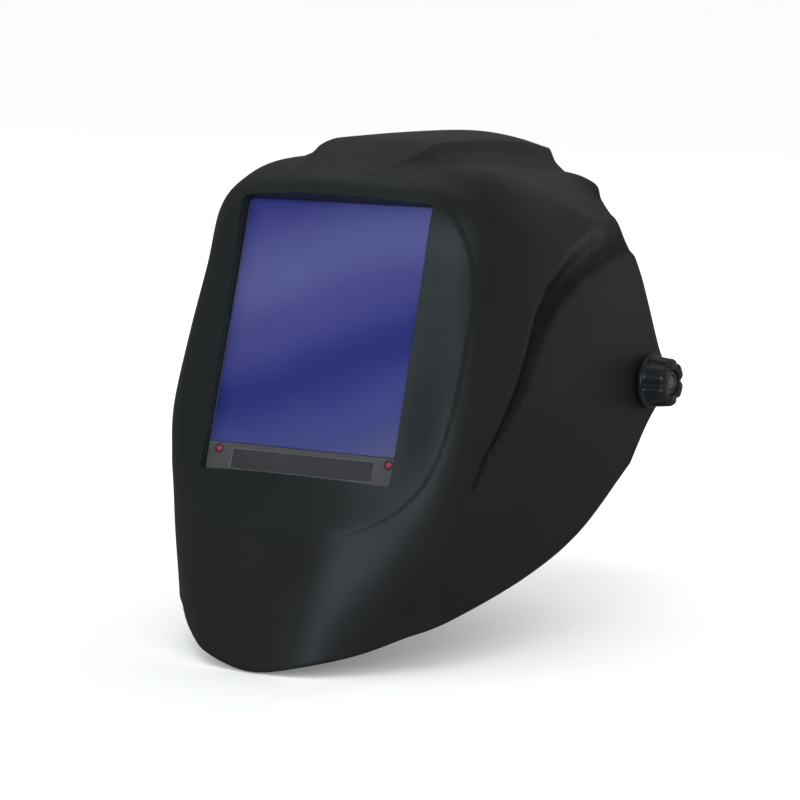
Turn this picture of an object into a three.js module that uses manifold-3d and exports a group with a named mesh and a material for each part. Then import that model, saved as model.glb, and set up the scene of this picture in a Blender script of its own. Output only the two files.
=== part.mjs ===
// Auto-darkening welding helmet: moulded visor shell, filter cassette, pivot hardware and ratchet headgear.
// Millimetres, +Z up. The visor looks along -Y. The origin is the middle of the tilt axis, which lies along X.
import * as THREE from "three";
import { mergeVertices } from "three/addons/utils/BufferGeometryUtils.js";
import Module from "manifold-3d";

const wasm = await Module();
wasm.setup();

// --- driving dimensions -------------------------------------------------------------------------------
const WALL = 2.6;               // shell wall
const WINDOW_W = 118;           // opening in the shell
const WINDOW_H = 149;
const WINDOW_LEAN = 18;         // degrees the window leans back
const WINDOW_MID = [0, -171.5, 37];
const LENS_DEPTH = 3.4;         // cover lens front behind the opening's side edges
const SHELL_AT = [0, 10, -2.7]; // origin of the shell's sections and window from the tilt axis
const GAP = 0.3;                // clearance between touching pieces
const PLATE = { halfW: 86.2, midZ: 31, halfH: 93, power: 3, step: 1.6 };
const KNOB_R = 15.25;           // tension knob flange
const KNOB_X = 115;             // face of the tension knob towards the shell
const KNOB_LEN = 15;
const BOLT_R = 4;
const BAND_X = 76;              // headband half width
const BAND_FRONT = -88;
const BAND_T = 1.8;
const BAND_H = 24;
const BAND_Z = 40;
const PINION_R = 6;
const PINION_TEETH = 10;

// Sections of the shell's outer face, right half, from the bottom rim to the crown's rear rim.
// Each section runs from the centre line to the side rim.
const SECTIONS = [
  [[0, -237, -128], [30, -232, -123], [52, -215, -118], [70, -196, -110.5],
    [85, -175, -103.5], [99, -122, -89], [107, -76, -71], [111, -29, -41]],
  [[0, -229, -96], [32, -225, -94], [57, -211, -89], [77, -191, -82],
    [91, -168, -76], [102, -126, -66], [109, -75, -48], [113.5, -16, -22]],
  [[0, -217.5, -61], [33, -216, -60], [61, -203, -58], [82, -186, -54],
    [94, -165, -49], [103.5, -125, -41], [110, -74, -28], [114.2, -4, -13]],
  [[0, -206.5, -30], [33, -203, -31], [60, -194.5, -33], [83, -184.5, -33],
    [95, -166, -28], [103.5, -124, -20], [110, -72, -11], [114.5, 9, -7]],
  [[0, -196.5, 3], [33, -192.7, 2], [60, -184, -1], [86.5, -177.5, -5],
    [100, -155, -4], [106, -119.5, 1], [109.5, -70, 5], [114.2, 13, 4]],
  [[0, -184.5, 42], [33, -180.7, 41], [60, -172, 38], [87, -162, 34],
    [97.5, -141.5, 32], [104, -110, 29], [108, -66, 25], [111, 7, 19]],
  [[0, -173, 80], [33, -169.2, 79], [60, -160.4, 76], [84.5, -149, 70],
    [94.5, -129, 64], [101, -99, 56], [105.5, -60, 48], [105.5, 3, 43]],
  [[0, -163, 112], [32, -159.5, 110.5], [58, -151.5, 107], [80.5, -141, 101],
    [91.5, -122.5, 93], [98, -93, 82], [101, -55, 69], [100.5, 2, 60]],
  [[0, -150, 124], [30, -146, 122.5], [55.5, -138, 120], [74.5, -127.5, 115.5],
    [85.5, -110.5, 108], [91, -84, 98], [94.5, -50, 85], [95.5, 1, 73]],
  [[0, -122, 128.5], [26, -118, 127.5], [50.5, -113, 126.5], [67.5, -103, 122.5],
    [78, -90, 115], [84.5, -71, 106], [89, -44, 96], [89, 1, 84]],
  [[0, -65, 129.5], [25, -64, 128.5], [45, -60, 124.5], [59, -56, 119],
    [70, -50, 112.5], [78, -40, 106], [83, -26, 99], [86, 0, 91]],
  [[0, -8, 127], [25, -9, 124.5], [43, -8, 118], [56, -8, 113],
    [66, -7, 108.5], [74, -5, 103], [80, -3, 98], [84, 0, 93]],
  [[0, 30, 119], [25, 26, 117], [42, 19, 114], [54.5, 15, 112.5],
    [64, 11, 110.5], [71.5, 8, 107], [77, 3, 100.5], [82, 1, 95]],
];

// Centre line of the temple flute in side view [y, z, half width, depth], from the rear rim to its front tip.
const FLUTE = [
  [6, 79, 9, 1.2], [-20, 80, 9.5, 4.6], [-42, 78, 9.5, 6], [-73, 71, 9, 5.5], [-97, 58, 8, 5],
  [-111, 45, 6.5, 4.2], [-121, 31, 5, 3.4], [-134, 14, 4.4, 3], [-148, -2, 3.8, 2.6],
  [-160, -19, 2.8, 1.8], [-169, -35, 1.5, 0],
];

// Half width and height of the raised crown along Y.
const CROWN_Y = [-150, -135, -115, -80, -30, 34];
const CROWN_HALF_W = [22, 31, 39, 41, 41, 39];
const CROWN_RISE = [0, 4, 7.6, 8.6, 9, 10];

// --- small helpers --------------------------------------------------------------------------------------
const rad = (deg) => (deg * Math.PI) / 180;
const clamp = (v, lo, hi) => Math.min(hi, Math.max(lo, v));

function smooth(lo, hi, v) {
  const t = clamp((v - lo) / (hi - lo), 0, 1);
  return t * t * (3 - 2 * t);
}

function lookUp(xs, ys, x) {
  let i = 0;
  while (i < xs.length - 2 && x > xs[i + 1]) i += 1;
  const t = clamp((x - xs[i]) / (xs[i + 1] - xs[i]), 0, 1);
  return ys[i] + (ys[i + 1] - ys[i]) * t;
}

function cubic(a, b, c, d, t) {
  return 0.5 * (2 * b + (c - a) * t + (2 * a - 5 * b + 4 * c - d) * t * t + (3 * b - a - 3 * c + d) * t * t * t);
}

// Catmull-Rom through a list of points at parameter t in steps of one.
function along(points, t) {
  const last = points.length - 1;
  const i = clamp(Math.floor(t), 0, last - 1);
  const p1 = points[i];
  const p2 = points[i + 1];
  const p0 = i > 0 ? points[i - 1] : p1.map((v, k) => 2 * v - p2[k]);
  const p3 = i < last - 1 ? points[i + 2] : p2.map((v, k) => 2 * v - p1[k]);
  return p1.map((v, k) => cubic(p0[k], v, p2[k], p3[k], t - i));
}

function toManifold(geometry) {
  const g = geometry.clone();
  g.deleteAttribute("normal");
  g.deleteAttribute("uv");
  const m = mergeVertices(g, 1e-4);
  return new wasm.Manifold(new wasm.Mesh({
    numProp: 3,
    vertProperties: new Float32Array(m.attributes.position.array),
    triVerts: new Uint32Array(m.index.array),
  }));
}

function fromManifold(solid) {
  const m = solid.getMesh();
  const g = new THREE.BufferGeometry();
  g.setAttribute("position", new THREE.BufferAttribute(new Float32Array(m.vertProperties), 3));
  g.setIndex(new THREE.BufferAttribute(new Uint32Array(m.triVerts), 1));
  return g;
}

function subtract(geometry, cutters) {
  let solid = toManifold(geometry);
  for (const cutter of cutters) solid = solid.subtract(toManifold(cutter));
  return fromManifold(solid);
}

function unite(geometries) {
  let solid = toManifold(geometries[0]);
  for (const g of geometries.slice(1)) solid = solid.add(toManifold(g));
  return fromManifold(solid);
}

function box(x0, x1, y0, y1, z0, z1) {
  return new THREE.BoxGeometry(x1 - x0, y1 - y0, z1 - z0)
    .translate((x0 + x1) / 2, (y0 + y1) / 2, (z0 + z1) / 2);
}

// Cylinder between two stations of one axis ("x", "y" or "z"), centred on the other two coordinates.
function rod(axis, from, to, r, a, b, sides = 24, r2 = r) {
  const g = new THREE.CylinderGeometry(r2, r, to - from, sides);
  g.translate(0, (to + from) / 2, 0);
  if (axis === "x") return g.rotateZ(-Math.PI / 2).translate(0, a, b);
  if (axis === "z") return g.rotateX(Math.PI / 2).translate(a, b, 0);
  return g.translate(a, 0, b);
}

function roundedRect(w, h, r, x = 0, y = 0) {
  const s = new THREE.Shape();
  s.moveTo(x - w / 2 + r, y - h / 2);
  s.lineTo(x + w / 2 - r, y - h / 2);
  s.absarc(x + w / 2 - r, y - h / 2 + r, r, -Math.PI / 2, 0);
  s.lineTo(x + w / 2, y + h / 2 - r);
  s.absarc(x + w / 2 - r, y + h / 2 - r, r, 0, Math.PI / 2);
  s.lineTo(x - w / 2 + r, y + h / 2);
  s.absarc(x - w / 2 + r, y + h / 2 - r, r, Math.PI / 2, Math.PI);
  s.lineTo(x - w / 2, y - h / 2 + r);
  s.absarc(x - w / 2 + r, y - h / 2 + r, r, Math.PI, 1.5 * Math.PI);
  return s;
}

function extrude(shape, depth, curveSegments = 3) {
  return new THREE.ExtrudeGeometry(shape, { depth, bevelEnabled: false, curveSegments });
}

// Window frame: X stays, local Y runs up the window and local Z points out of it.
const windowFrame = new THREE.Matrix4();
{
  const up = new THREE.Vector3(0, Math.sin(rad(WINDOW_LEAN)), Math.cos(rad(WINDOW_LEAN)));
  const out = new THREE.Vector3(0, -Math.cos(rad(WINDOW_LEAN)), Math.sin(rad(WINDOW_LEAN)));
  windowFrame.makeBasis(new THREE.Vector3(1, 0, 0), up, out);
  const middle = new THREE.Vector3(...WINDOW_MID).add(new THREE.Vector3(...SHELL_AT));
  windowFrame.setPosition(middle.addScaledVector(out, -LENS_DEPTH));
}
const inWindow = (g) => g.applyMatrix4(windowFrame);

// A plate with a rounded rectangle outline in the window frame, between two stations of its outward axis.
function windowPlate(w, h, r, back, front, x = 0, u = 0) {
  return extrude(roundedRect(w, h, r, x, u), front - back).translate(0, 0, back);
}

const parts = [];
function add(name, geometry, color, roughness, metalness = 0) {
  const flat = geometry.index ? geometry.toNonIndexed() : geometry;
  flat.deleteAttribute("uv");
  flat.computeVertexNormals();
  const material = new THREE.MeshStandardMaterial({ color, roughness, metalness });
  const mesh = new THREE.Mesh(flat, material);
  mesh.name = name;
  parts.push(mesh);
}

// --- visor shell ---------------------------------------------------------------------------------------------
const fullSections = SECTIONS.map((row) => [
  ...row.slice(1).reverse().map(([x, y, z]) => [-x, y, z]),
  ...row,
]);
const COLUMNS = fullSections[0].length - 1;
const ROWS = fullSections.length - 1;

function basePoint(u, v) {
  const row = fullSections[0].map((_, k) => along(fullSections.map((s) => s[k]), u));
  return new THREE.Vector3(...along(row, v));
}

function normalOf(point, u, v) {
  const e = 0.02;
  const du = point(Math.min(u + e, ROWS), v).sub(point(Math.max(u - e, 0), v));
  const dv = point(u, Math.min(v + e, COLUMNS)).sub(point(u, Math.max(v - e, 0)));
  return dv.cross(du).normalize();
}

function fluteDepth(p) {
  let best = { d: 1e9 };
  for (let i = 0; i < FLUTE.length - 1; i += 1) {
    const [y0, z0, w0, h0] = FLUTE[i];
    const [y1, z1, w1, h1] = FLUTE[i + 1];
    const len2 = (y1 - y0) ** 2 + (z1 - z0) ** 2;
    const t = clamp(((p.y - y0) * (y1 - y0) + (p.z - z0) * (z1 - z0)) / len2, 0, 1);
    const dy = p.y - (y0 + (y1 - y0) * t);
    const dz = p.z - (z0 + (z1 - z0) * t);
    const d = Math.hypot(dy, dz);
    if (d >= best.d) continue;
    const side = Math.sign((y1 - y0) * dz - (z1 - z0) * dy);
    best = { d, side: -side, w: w0 + (w1 - w0) * t, h: h0 + (h1 - h0) * t };
  }
  const q = (best.side * best.d) / best.w;
  return best.h * smooth(-1.1, -0.55, q) * (1 - smooth(-0.3, 1.2, q));
}

function outerPoint(u, v) {
  const p = basePoint(u, v);
  const n = normalOf(basePoint, u, v);
  const g = (Math.abs(p.x / PLATE.halfW) ** PLATE.power
    + Math.abs((p.z - PLATE.midZ) / PLATE.halfH) ** PLATE.power) ** (1 / PLATE.power);
  if (p.y < -100) p.addScaledVector(n, -PLATE.step * smooth(0.985, 1.0, g) * (1 - smooth(1.03, 1.3, g)));
  if (Math.abs(p.x) > 60) p.addScaledVector(n, -fluteDepth(p));
  if (p.z > 90) {
    const half = lookUp(CROWN_Y, CROWN_HALF_W, p.y);
    p.z += lookUp(CROWN_Y, CROWN_RISE, p.y) * (1 - smooth(half - 5, half + 5, Math.abs(p.x)));
  }
  return p.add(new THREE.Vector3(...SHELL_AT));
}

// Grid of points at a depth below the outer face.
function pointsAt(us, vs, depth) {
  const outer = us.map((u) => vs.map((v) => outerPoint(u, v)));
  if (depth === 0) return outer.flat();
  const at = (i, j) => outer[clamp(i, 0, us.length - 1)][clamp(j, 0, vs.length - 1)];
  return us.flatMap((u, i) => vs.map((v, j) => {
    const up = at(i + 1, j).clone().sub(at(i - 1, j));
    const side = at(i, j + 1).clone().sub(at(i, j - 1));
    return at(i, j).clone().addScaledVector(side.cross(up).normalize(), -depth);
  }));
}

function gridFaces(n, m, first, flip) {
  const faces = [];
  for (let i = 0; i < n - 1; i += 1) {
    for (let j = 0; j < m - 1; j += 1) {
      const a = first + i * m + j;
      const quad = [a, a + 1, a + m + 1, a, a + m + 1, a + m];
      faces.push(...(flip ? quad.reverse() : quad));
    }
  }
  return faces;
}

function rimLoop(n, m) {
  const loop = [];
  for (let j = 0; j < m - 1; j += 1) loop.push(j);
  for (let i = 0; i < n - 1; i += 1) loop.push(i * m + m - 1);
  for (let j = m - 1; j > 0; j -= 1) loop.push((n - 1) * m + j);
  for (let i = n - 1; i > 0; i -= 1) loop.push(i * m);
  return loop;
}

function meshOf(points, faces) {
  const g = new THREE.BufferGeometry();
  g.setAttribute("position", new THREE.Float32BufferAttribute(points.flatMap((p) => [p.x, p.y, p.z]), 3));
  g.setIndex(faces);
  return g;
}

const steps = (from, to, count) => Array.from({ length: count + 1 }, (_, i) => from + ((to - from) * i) / count);
const US = steps(0, ROWS, 36);
const VS = steps(0, COLUMNS, 42);

function skin(wall) {
  const n = US.length;
  const m = VS.length;
  const faces = [...gridFaces(n, m, 0, false), ...gridFaces(n, m, n * m, true)];
  const loop = rimLoop(n, m);
  loop.forEach((a, k) => {
    const b = loop[(k + 1) % loop.length];
    faces.push(a, n * m + a, n * m + b, a, n * m + b, b);
  });
  return meshOf([...pointsAt(US, VS, 0), ...pointsAt(US, VS, wall)], faces);
}

// Everything that lies inside the shell, closed by a fan from its rim to a point in the head space.
function roomWithin(depth) {
  const n = US.length;
  const m = VS.length;
  const faces = gridFaces(n, m, 0, false);
  const loop = rimLoop(n, m);
  loop.forEach((a, k) => faces.push(a, n * m, loop[(k + 1) % loop.length]));
  return toManifold(meshOf([...pointsAt(US, VS, depth), new THREE.Vector3(0, -30, 20)], faces));
}

const roomAtMidWall = roomWithin(WALL / 2);
const roomInside = roomWithin(WALL + GAP + 0.1);
const keepInside = (g) => fromManifold(toManifold(g).intersect(roomInside));

function shell() {
  const collar = inWindow(windowPlate(WINDOW_W + 5, WINDOW_H + 5, 4, 0.3, 24));
  const walls = toManifold(skin(WALL)).add(toManifold(collar).intersect(roomAtMidWall));
  const cuts = [inWindow(windowPlate(WINDOW_W, WINDOW_H, 2, -30, 40))];
  for (const s of [-1, 1]) cuts.push(rod("x", s * 124 - 20, s * 124 + 20, BOLT_R + 0.4, 0, 0));
  return subtract(fromManifold(walls), cuts);
}
add("helmet_shell", shell(), 0x1b2022, 0.5);

// --- window stack, stations are distances in front of the cover lens's face ----------------------------------
const CASE_TOP = 77;
const CASE_BOTTOM = -78;
const CASE_MID = (CASE_TOP + CASE_BOTTOM) / 2;
const STRIP_TOP = -58.8;        // bezel strip below the liquid crystal pane
const CONTROL_U = -59.5;        // row of knobs and battery caps
const BATTERY_X = 45;

add("cover_lens", keepInside(inWindow(windowPlate(121, 152, 3, -1.1, -0.1))), 0xdfe6ea, 0.08);
add("lens_gasket", keepInside(inWindow(fromManifold(
  toManifold(windowPlate(124, 154.5, 4, -2.2, -1.4)).subtract(toManifold(windowPlate(118.6, 149.6, 3, -3, 0))),
))), 0x101010, 0.9);

// Pin along the window's outward axis.
const windowRod = (x, u, back, front, r, sides = 24) => rod("z", back, front, r, x, u, sides);

function filterCase() {
  const body = windowPlate(124, CASE_TOP - CASE_BOTTOM, 4, -8, -2.5, 0, CASE_MID);
  return keepInside(inWindow(subtract(body, [
    box(-59.3, 59.3, STRIP_TOP, 75, -9, 0),
    box(-44.3, 44.3, -72.6, -61.3, -3.3, 0),
    box(-58, 58, -76, -60.2, -9, -4.3),
    windowRod(-52.8, -62.3, -6, 0, 1.9, 16),
    windowRod(52.8, -62.3, -6, 0, 1.9, 16),
  ])));
}
add("filter_case", filterCase(), 0x3d3f45, 0.5);
add("lcd_glass", keepInside(inWindow(windowPlate(118, 133.2, 1, -6.5, -2.6, 0, 8.1))), 0x2a2a78, 0.12);
add("solar_cell", inWindow(box(-44, 44, -72.3, -61.6, -3.2, -2.6)), 0x232733, 0.35);
add("sensor_l", inWindow(windowRod(-52.8, -62.3, -5.4, -2.2, 1.6, 16)), 0xb0122c, 0.25);
add("sensor_r", inWindow(windowRod(52.8, -62.3, -5.4, -2.2, 1.6, 16)), 0xb0122c, 0.25);
add("circuit_board", inWindow(box(-57, 57, -75.5, -60.6, -7.2, -5.7)), 0x14532d, 0.6);

function filterBack() {
  const body = windowPlate(124, CASE_TOP - CASE_BOTTOM, 4, -16, -8.3, 0, CASE_MID);
  const cuts = [
    box(-52, 52, -36, 68, -20, 0),
    box(-59.5, 59.5, -75, -39, -13.4, 0),
    windowRod(0, CONTROL_U, -20, -10, 2.6, 16),
    windowRod(-13, -44, -20, -10, 3.3, 16),
    box(6, 20, -46.2, -41.8, -20, -10),
  ];
  for (const s of [-1, 1]) {
    cuts.push(windowRod(s * BATTERY_X, CONTROL_U, -20, -10, 13.3, 32));
    cuts.push(windowRod(s * 21.5, -62, -20, -10, 2.1, 16));
  }
  return keepInside(inWindow(subtract(body, cuts)));
}
add("filter_back", filterBack(), 0x24262a, 0.55);

for (const [side, s] of [["l", -1], ["r", 1]]) {
  add(`battery_${side}`, inWindow(windowRod(s * BATTERY_X, CONTROL_U, -13, -9.8, 12.25, 28)), 0xb9bcc0, 0.3, 1);
  const cap = windowRod(s * BATTERY_X, CONTROL_U, -16.6, -13.3, 12.9, 32);
  const coinSlot = box(s * BATTERY_X - 8, s * BATTERY_X + 8, CONTROL_U - 1.1, CONTROL_U + 1.1, -17, -15.4);
  add(`battery_cap_${side}`, inWindow(subtract(cap, [coinSlot])), 0x2c2e33, 0.5);
}

// Round knob with finger grooves on a thin shaft, pointing back towards the wearer.
function controlKnob(x, u, r, back, grooves, shaft) {
  const s = new THREE.Shape();
  const n = grooves * 4;
  for (let i = 0; i < n; i += 1) {
    const a = (i / n) * 2 * Math.PI;
    const rr = r - (i % 4 === 0 ? 0.9 : 0);
    if (i === 0) s.moveTo(x + rr * Math.cos(a), u + rr * Math.sin(a));
    else s.lineTo(x + rr * Math.cos(a), u + rr * Math.sin(a));
  }
  const cap = extrude(s, -16.5 - back).translate(0, 0, back);
  const groove = box(x - 0.8, x + 0.8, u + r * 0.25, u + r + 1, back - 1, back + 0.8);
  return inWindow(subtract(unite([cap, windowRod(x, u, -16.8, -10.5, shaft, 16)]), [groove]));
}
add("shade_knob", controlKnob(0, CONTROL_U, 10.5, -25, 12, 2.3), 0x2c2e33, 0.5);
add("sensitivity_knob", controlKnob(-21.5, -62, 6.5, -22, 8, 1.8), 0x2c2e33, 0.5);
add("delay_knob", controlKnob(21.5, -62, 6.5, -22, 8, 1.8), 0x2c2e33, 0.5);
add("grind_switch", inWindow(unite([
  box(7, 13, -45.9, -42.1, -17.2, -12.2),
  box(8.5, 11.5, -45.2, -42.8, -18.6, -17),
])), 0x8a1f1f, 0.5);
add("test_button", inWindow(windowRod(-13, -44, -18, -12.2, 3, 20)), 0x55585e, 0.6);
add("inner_lens", inWindow(windowPlate(109, 109, 2, -17.3, -16.3, 0, 16)), 0xe6ecef, 0.08);

// Frame that holds the cassette against the shell, with a lip behind the cassette's edge.
function holderFrame() {
  const outer = windowPlate(133.4, 164, 6, -18.6, -3, 0, CASE_MID);
  const pocket = windowPlate(124.8, 155.8, 4.3, -16.3, 0, 0, CASE_MID);
  const lip = windowPlate(120, 151, 3, -20, 0, 0, CASE_MID);
  return keepInside(inWindow(subtract(outer, [pocket, lip])));
}
add("holder_frame", holderFrame(), 0x1d1f22, 0.6);
for (const [side, s] of [["l", -1], ["r", 1]]) {
  const plate = windowPlate(14, 17, 2, -20.8, -18.9, s * 34, 73);
  const grip = box(s * 34 - 5, s * 34 + 5, 76, 79, -22.4, -20.6);
  add(`retainer_latch_${side}`, inWindow(unite([plate, grip])), 0x55585e, 0.55);
}

// --- pivots, outermost piece first; s is the side of the head ------------------------------------------------
const STOP_R = 23.9;            // radius of the stop peg about the tilt axis
const PEG_ANGLE = 33;           // degrees above straight ahead with the visor down
const PEG_R = 2.6;
const TILT_RANGE = 70;
const towards = (deg, r) => [-r * Math.cos(rad(deg)), r * Math.sin(rad(deg))];
const mirrored = (s, g) => (s > 0 ? g : turned(g));

// Mirror image in the plane X = 0, with its faces turned back outwards.
function turned(g) {
  const m = (g.index ? g.toNonIndexed() : g.clone());
  const p = m.attributes.position;
  for (let i = 0; i < p.count; i += 3) {
    const [ax, ay, az] = [p.getX(i), p.getY(i), p.getZ(i)];
    p.setXYZ(i, -p.getX(i + 1), p.getY(i + 1), p.getZ(i + 1));
    p.setXYZ(i + 1, -ax, ay, az);
    p.setX(i + 2, -p.getX(i + 2));
  }
  return m;
}

// Outline in the side plane [y, z] extruded between two X stations.
function sidePlate(points, x0, x1) {
  const s = new THREE.Shape(points.map(([y, z]) => new THREE.Vector2(y, z)));
  const g = extrude(s, x1 - x0);
  const m = new THREE.Matrix4().makeBasis(
    new THREE.Vector3(0, 1, 0), new THREE.Vector3(0, 0, 1), new THREE.Vector3(1, 0, 0));
  return g.applyMatrix4(m).translate(x0, 0, 0);
}

function ringPoints(r, n, from = 0) {
  return Array.from({ length: n }, (_, i) => {
    const a = from + (i / n) * 2 * Math.PI;
    const rr = typeof r === "function" ? r(a) : r;
    return [rr * Math.cos(a), rr * Math.sin(a)];
  });
}

function tensionKnob() {
  const flange = rod("x", KNOB_X, KNOB_X + 2.6, KNOB_R, 0, 0, 48);
  const lobes = ringPoints((a) => 14.1 - 2.2 * ((1 + Math.cos(6 * a)) / 2) ** 3, 72);
  const body = sidePlate(lobes, 0, KNOB_LEN - 2);
  const p = body.attributes.position;
  for (let i = 0; i < p.count; i += 1) {
    const k = 1 - (0.07 * p.getX(i)) / (KNOB_LEN - 2);
    p.setXYZ(i, p.getX(i) + KNOB_X + 2, p.getY(i) * k, p.getZ(i) * k);
  }
  return subtract(unite([flange, body]), [
    rod("x", KNOB_X - 1, KNOB_X + KNOB_LEN + 1, BOLT_R + 0.3, 0, 0, 24),
    rod("x", KNOB_X + KNOB_LEN - 4.2, KNOB_X + KNOB_LEN + 1, 7, 0, 0, 24),
  ]);
}

function stopPlate() {
  const tab = (from, to) => {
    const arc = steps(from, to, 3).map((a) => towards(a, 27));
    return sidePlate([towards(from, 8), ...arc, towards(to, 8)].reverse(), 103, 105);
  };
  const clear = (Math.asin((PEG_R + GAP) / STOP_R) * 180) / Math.PI;
  return subtract(unite([
    sidePlate(ringPoints(15, 32), 103, 105),
    tab(PEG_ANGLE - clear - 16, PEG_ANGLE - clear),
    tab(PEG_ANGLE + TILT_RANGE + clear, PEG_ANGLE + TILT_RANGE + clear + 16),
  ]), [rod("x", 100, 108, BOLT_R + 0.25, 0, 0)]);
}

function sideArm() {
  const profile = new THREE.Shape([
    [80.3, 52], [80.3, 34], [102.7, 14], [102.7, -14], [99.3, -14], [99.3, 12.5], [77.3, 32.3], [77.3, 52],
  ].map(([x, z]) => new THREE.Vector2(x, z)));
  const bar = extrude(profile, 44).rotateX(Math.PI / 2).translate(0, 22, 0);
  const slot = sidePlate(ringPoints(BOLT_R + 0.5, 16).map(([y, z]) => [y + Math.sign(Math.round(y)) * 10, z]), 97, 104);
  return subtract(bar, [
    slot,
    rod("x", 76, 82, 2.5, 0, BAND_Z, 16),
    box(98, 104, 16, 30, 5, 20), box(98, 104, 16, 30, -20, -8),
    box(98, 104, -30, -16, 5, 20), box(98, 104, -30, -16, -20, -8),
  ]);
}

for (const [side, s] of [["l", -1], ["r", 1]]) {
  const piece = (name, g, color, roughness, metalness) => (
    add(`${name}_${side}`, mirrored(s, g), color, roughness, metalness));
  piece("tension_knob", tensionKnob(), 0x16191c, 0.42);
  piece("knob_insert", subtract(rod("x", 126.1, 128.6, 6.7, 0, 0, 6), [rod("x", 125, 130, BOLT_R + 0.3, 0, 0, 24)]),
    0xb8923a, 0.35, 1);
  piece("pivot_bolt", unite([rod("x", 99, 128.2, BOLT_R, 0, 0), rod("x", 96, 99.05, 9, 0, 0, 28, 7.5)]),
    0x8d9196, 0.35, 1);
  piece("friction_washer", subtract(rod("x", 105.3, 108.3, 11, 0, 0, 32), [rod("x", 104, 112, BOLT_R + 0.25, 0, 0)]),
    0x2b2b2b, 0.9);
  piece("slider_plate", stopPlate(), 0x34373b, 0.6);
  const [py, pz] = towards(PEG_ANGLE, STOP_R);
  piece("stop_peg", rod("x", 103.1, 107.2, PEG_R, py, pz, 16), 0x1b2022, 0.5);
  piece("side_arm", sideArm(), 0x2a2d31, 0.6);
  piece("arm_rivet", unite([
    rod("x", 72.2, 81, 2, 0, BAND_Z, 16), rod("x", 80.6, 82.2, 4.5, 0, BAND_Z, 20, 3.4),
    rod("x", 71.4, 72.7, 4, 0, BAND_Z, 20),
  ]), 0x9b9fa3, 0.4, 1);
}

// --- headgear ----------------------------------------------------------------------------------------------------
// Strap of even thickness along a plan path, extruded upwards.
function strap(path, thickness, height) {
  const sides = [1, -1].map((k) => path.map(([x, y], i) => {
    const [ax, ay] = path[Math.max(i - 1, 0)];
    const [bx, by] = path[Math.min(i + 1, path.length - 1)];
    const len = Math.hypot(bx - ax, by - ay);
    return new THREE.Vector2(x + (k * thickness * (by - ay)) / (2 * len), y - (k * thickness * (bx - ax)) / (2 * len));
  }));
  return extrude(new THREE.Shape([...sides[0], ...sides[1].reverse()]), height);
}

const arc = (cx, cy, rx, ry, from, to, n) => steps(rad(from), rad(to), n)
  .map((a) => [cx + rx * Math.cos(a), cy + ry * Math.sin(a)]);

function headband() {
  const front = arc(0, -8, BAND_X, -8 - BAND_FRONT, 180, 360, 28);
  const g = strap([[-BAND_X, 22], ...front, [BAND_X, 22]], BAND_T, BAND_H).translate(0, 0, BAND_Z - BAND_H / 2);
  return subtract(g, [-1, 1].map((s) => rod("x", s * BAND_X - 4, s * BAND_X + 4, 2.5, 0, BAND_Z, 16)));
}
add("headband", headband(), 0x26292d, 0.6);
add("sweatband", strap(arc(0, -8, BAND_X - 3.8, -8 - BAND_FRONT - 3.8, 212, 328, 20), 5, 32)
  .translate(0, 0, BAND_Z - 16), 0x2f3338, 0.95);

// The nape band leaves the rivets and drops to the back of the head: its plane is turned about X there.
const NAPE_DROP = 34;
const napeFrame = new THREE.Matrix4().makeRotationX(rad(-NAPE_DROP)).setPosition(0, 0, BAND_Z);
const inNape = (g) => g.applyMatrix4(napeFrame);
const NAPE_Y = 111;             // band's rear run, along the dropped plane

function sideBand() {
  const bend = arc(24, 50, 49.9, NAPE_Y - 50, 0, 90, 14);
  const g = strap([[73.9, -9], ...bend, [22, NAPE_Y]], BAND_T, 20).translate(0, 0, -10);
  return inNape(subtract(g, [rod("x", 70, 78, 2.5, 0, 0, 16)]));
}
add("side_band_r", sideBand(), 0x26292d, 0.6);
add("side_band_l", turned(sideBand()), 0x26292d, 0.6);

const crown = (halfW, foot, spring, top) => [
  [-halfW, foot], ...arc(0, spring, halfW, top - spring, 180, 0, 20), [halfW, foot],
];
const across = (path, y, width) => strap(path, 1.5, width).rotateX(Math.PI / 2).translate(0, y + width / 2, 0);
add("crown_strap_front", across(crown(72, 31, 46, 116), -15, 14), 0x26292d, 0.6);
add("crown_strap_rear", across(crown(71.9, 12, 40, 116), 27, 14), 0x26292d, 0.6);
add("crown_bridge", extrude(roundedRect(24, 62, 6, 0, 6), 1.6).translate(0, 0, 117.2), 0x26292d, 0.6);

// Toothed bar sliding under or over the pinion; the teeth point towards the pinion.
const PITCH = (2 * Math.PI * PINION_R) / PINION_TEETH;
function rack(from, to, phase) {
  const s = new THREE.Shape();
  s.moveTo(from, 11.6);
  s.lineTo(from, 7.6);
  for (let k = Math.ceil((from + 3) / PITCH); (k + phase) * PITCH < to - 3; k += 1) {
    const x = (k + phase) * PITCH;
    s.lineTo(x - 0.85, 7.6);
    s.lineTo(x - 0.35, 5.2);
    s.lineTo(x + 0.35, 5.2);
    s.lineTo(x + 0.85, 7.6);
  }
  s.lineTo(to, 7.6);
  s.lineTo(to, 11.6);
  return extrude(s, 1.8).rotateX(Math.PI / 2).translate(0, NAPE_Y + 3, 0);
}
add("rack_upper", inNape(rack(-42, 20, 0.5)), 0x3a3d42, 0.6);
add("rack_lower", inNape(rack(-42, 20, 0.5).rotateY(Math.PI)), 0x3a3d42, 0.6);

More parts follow.
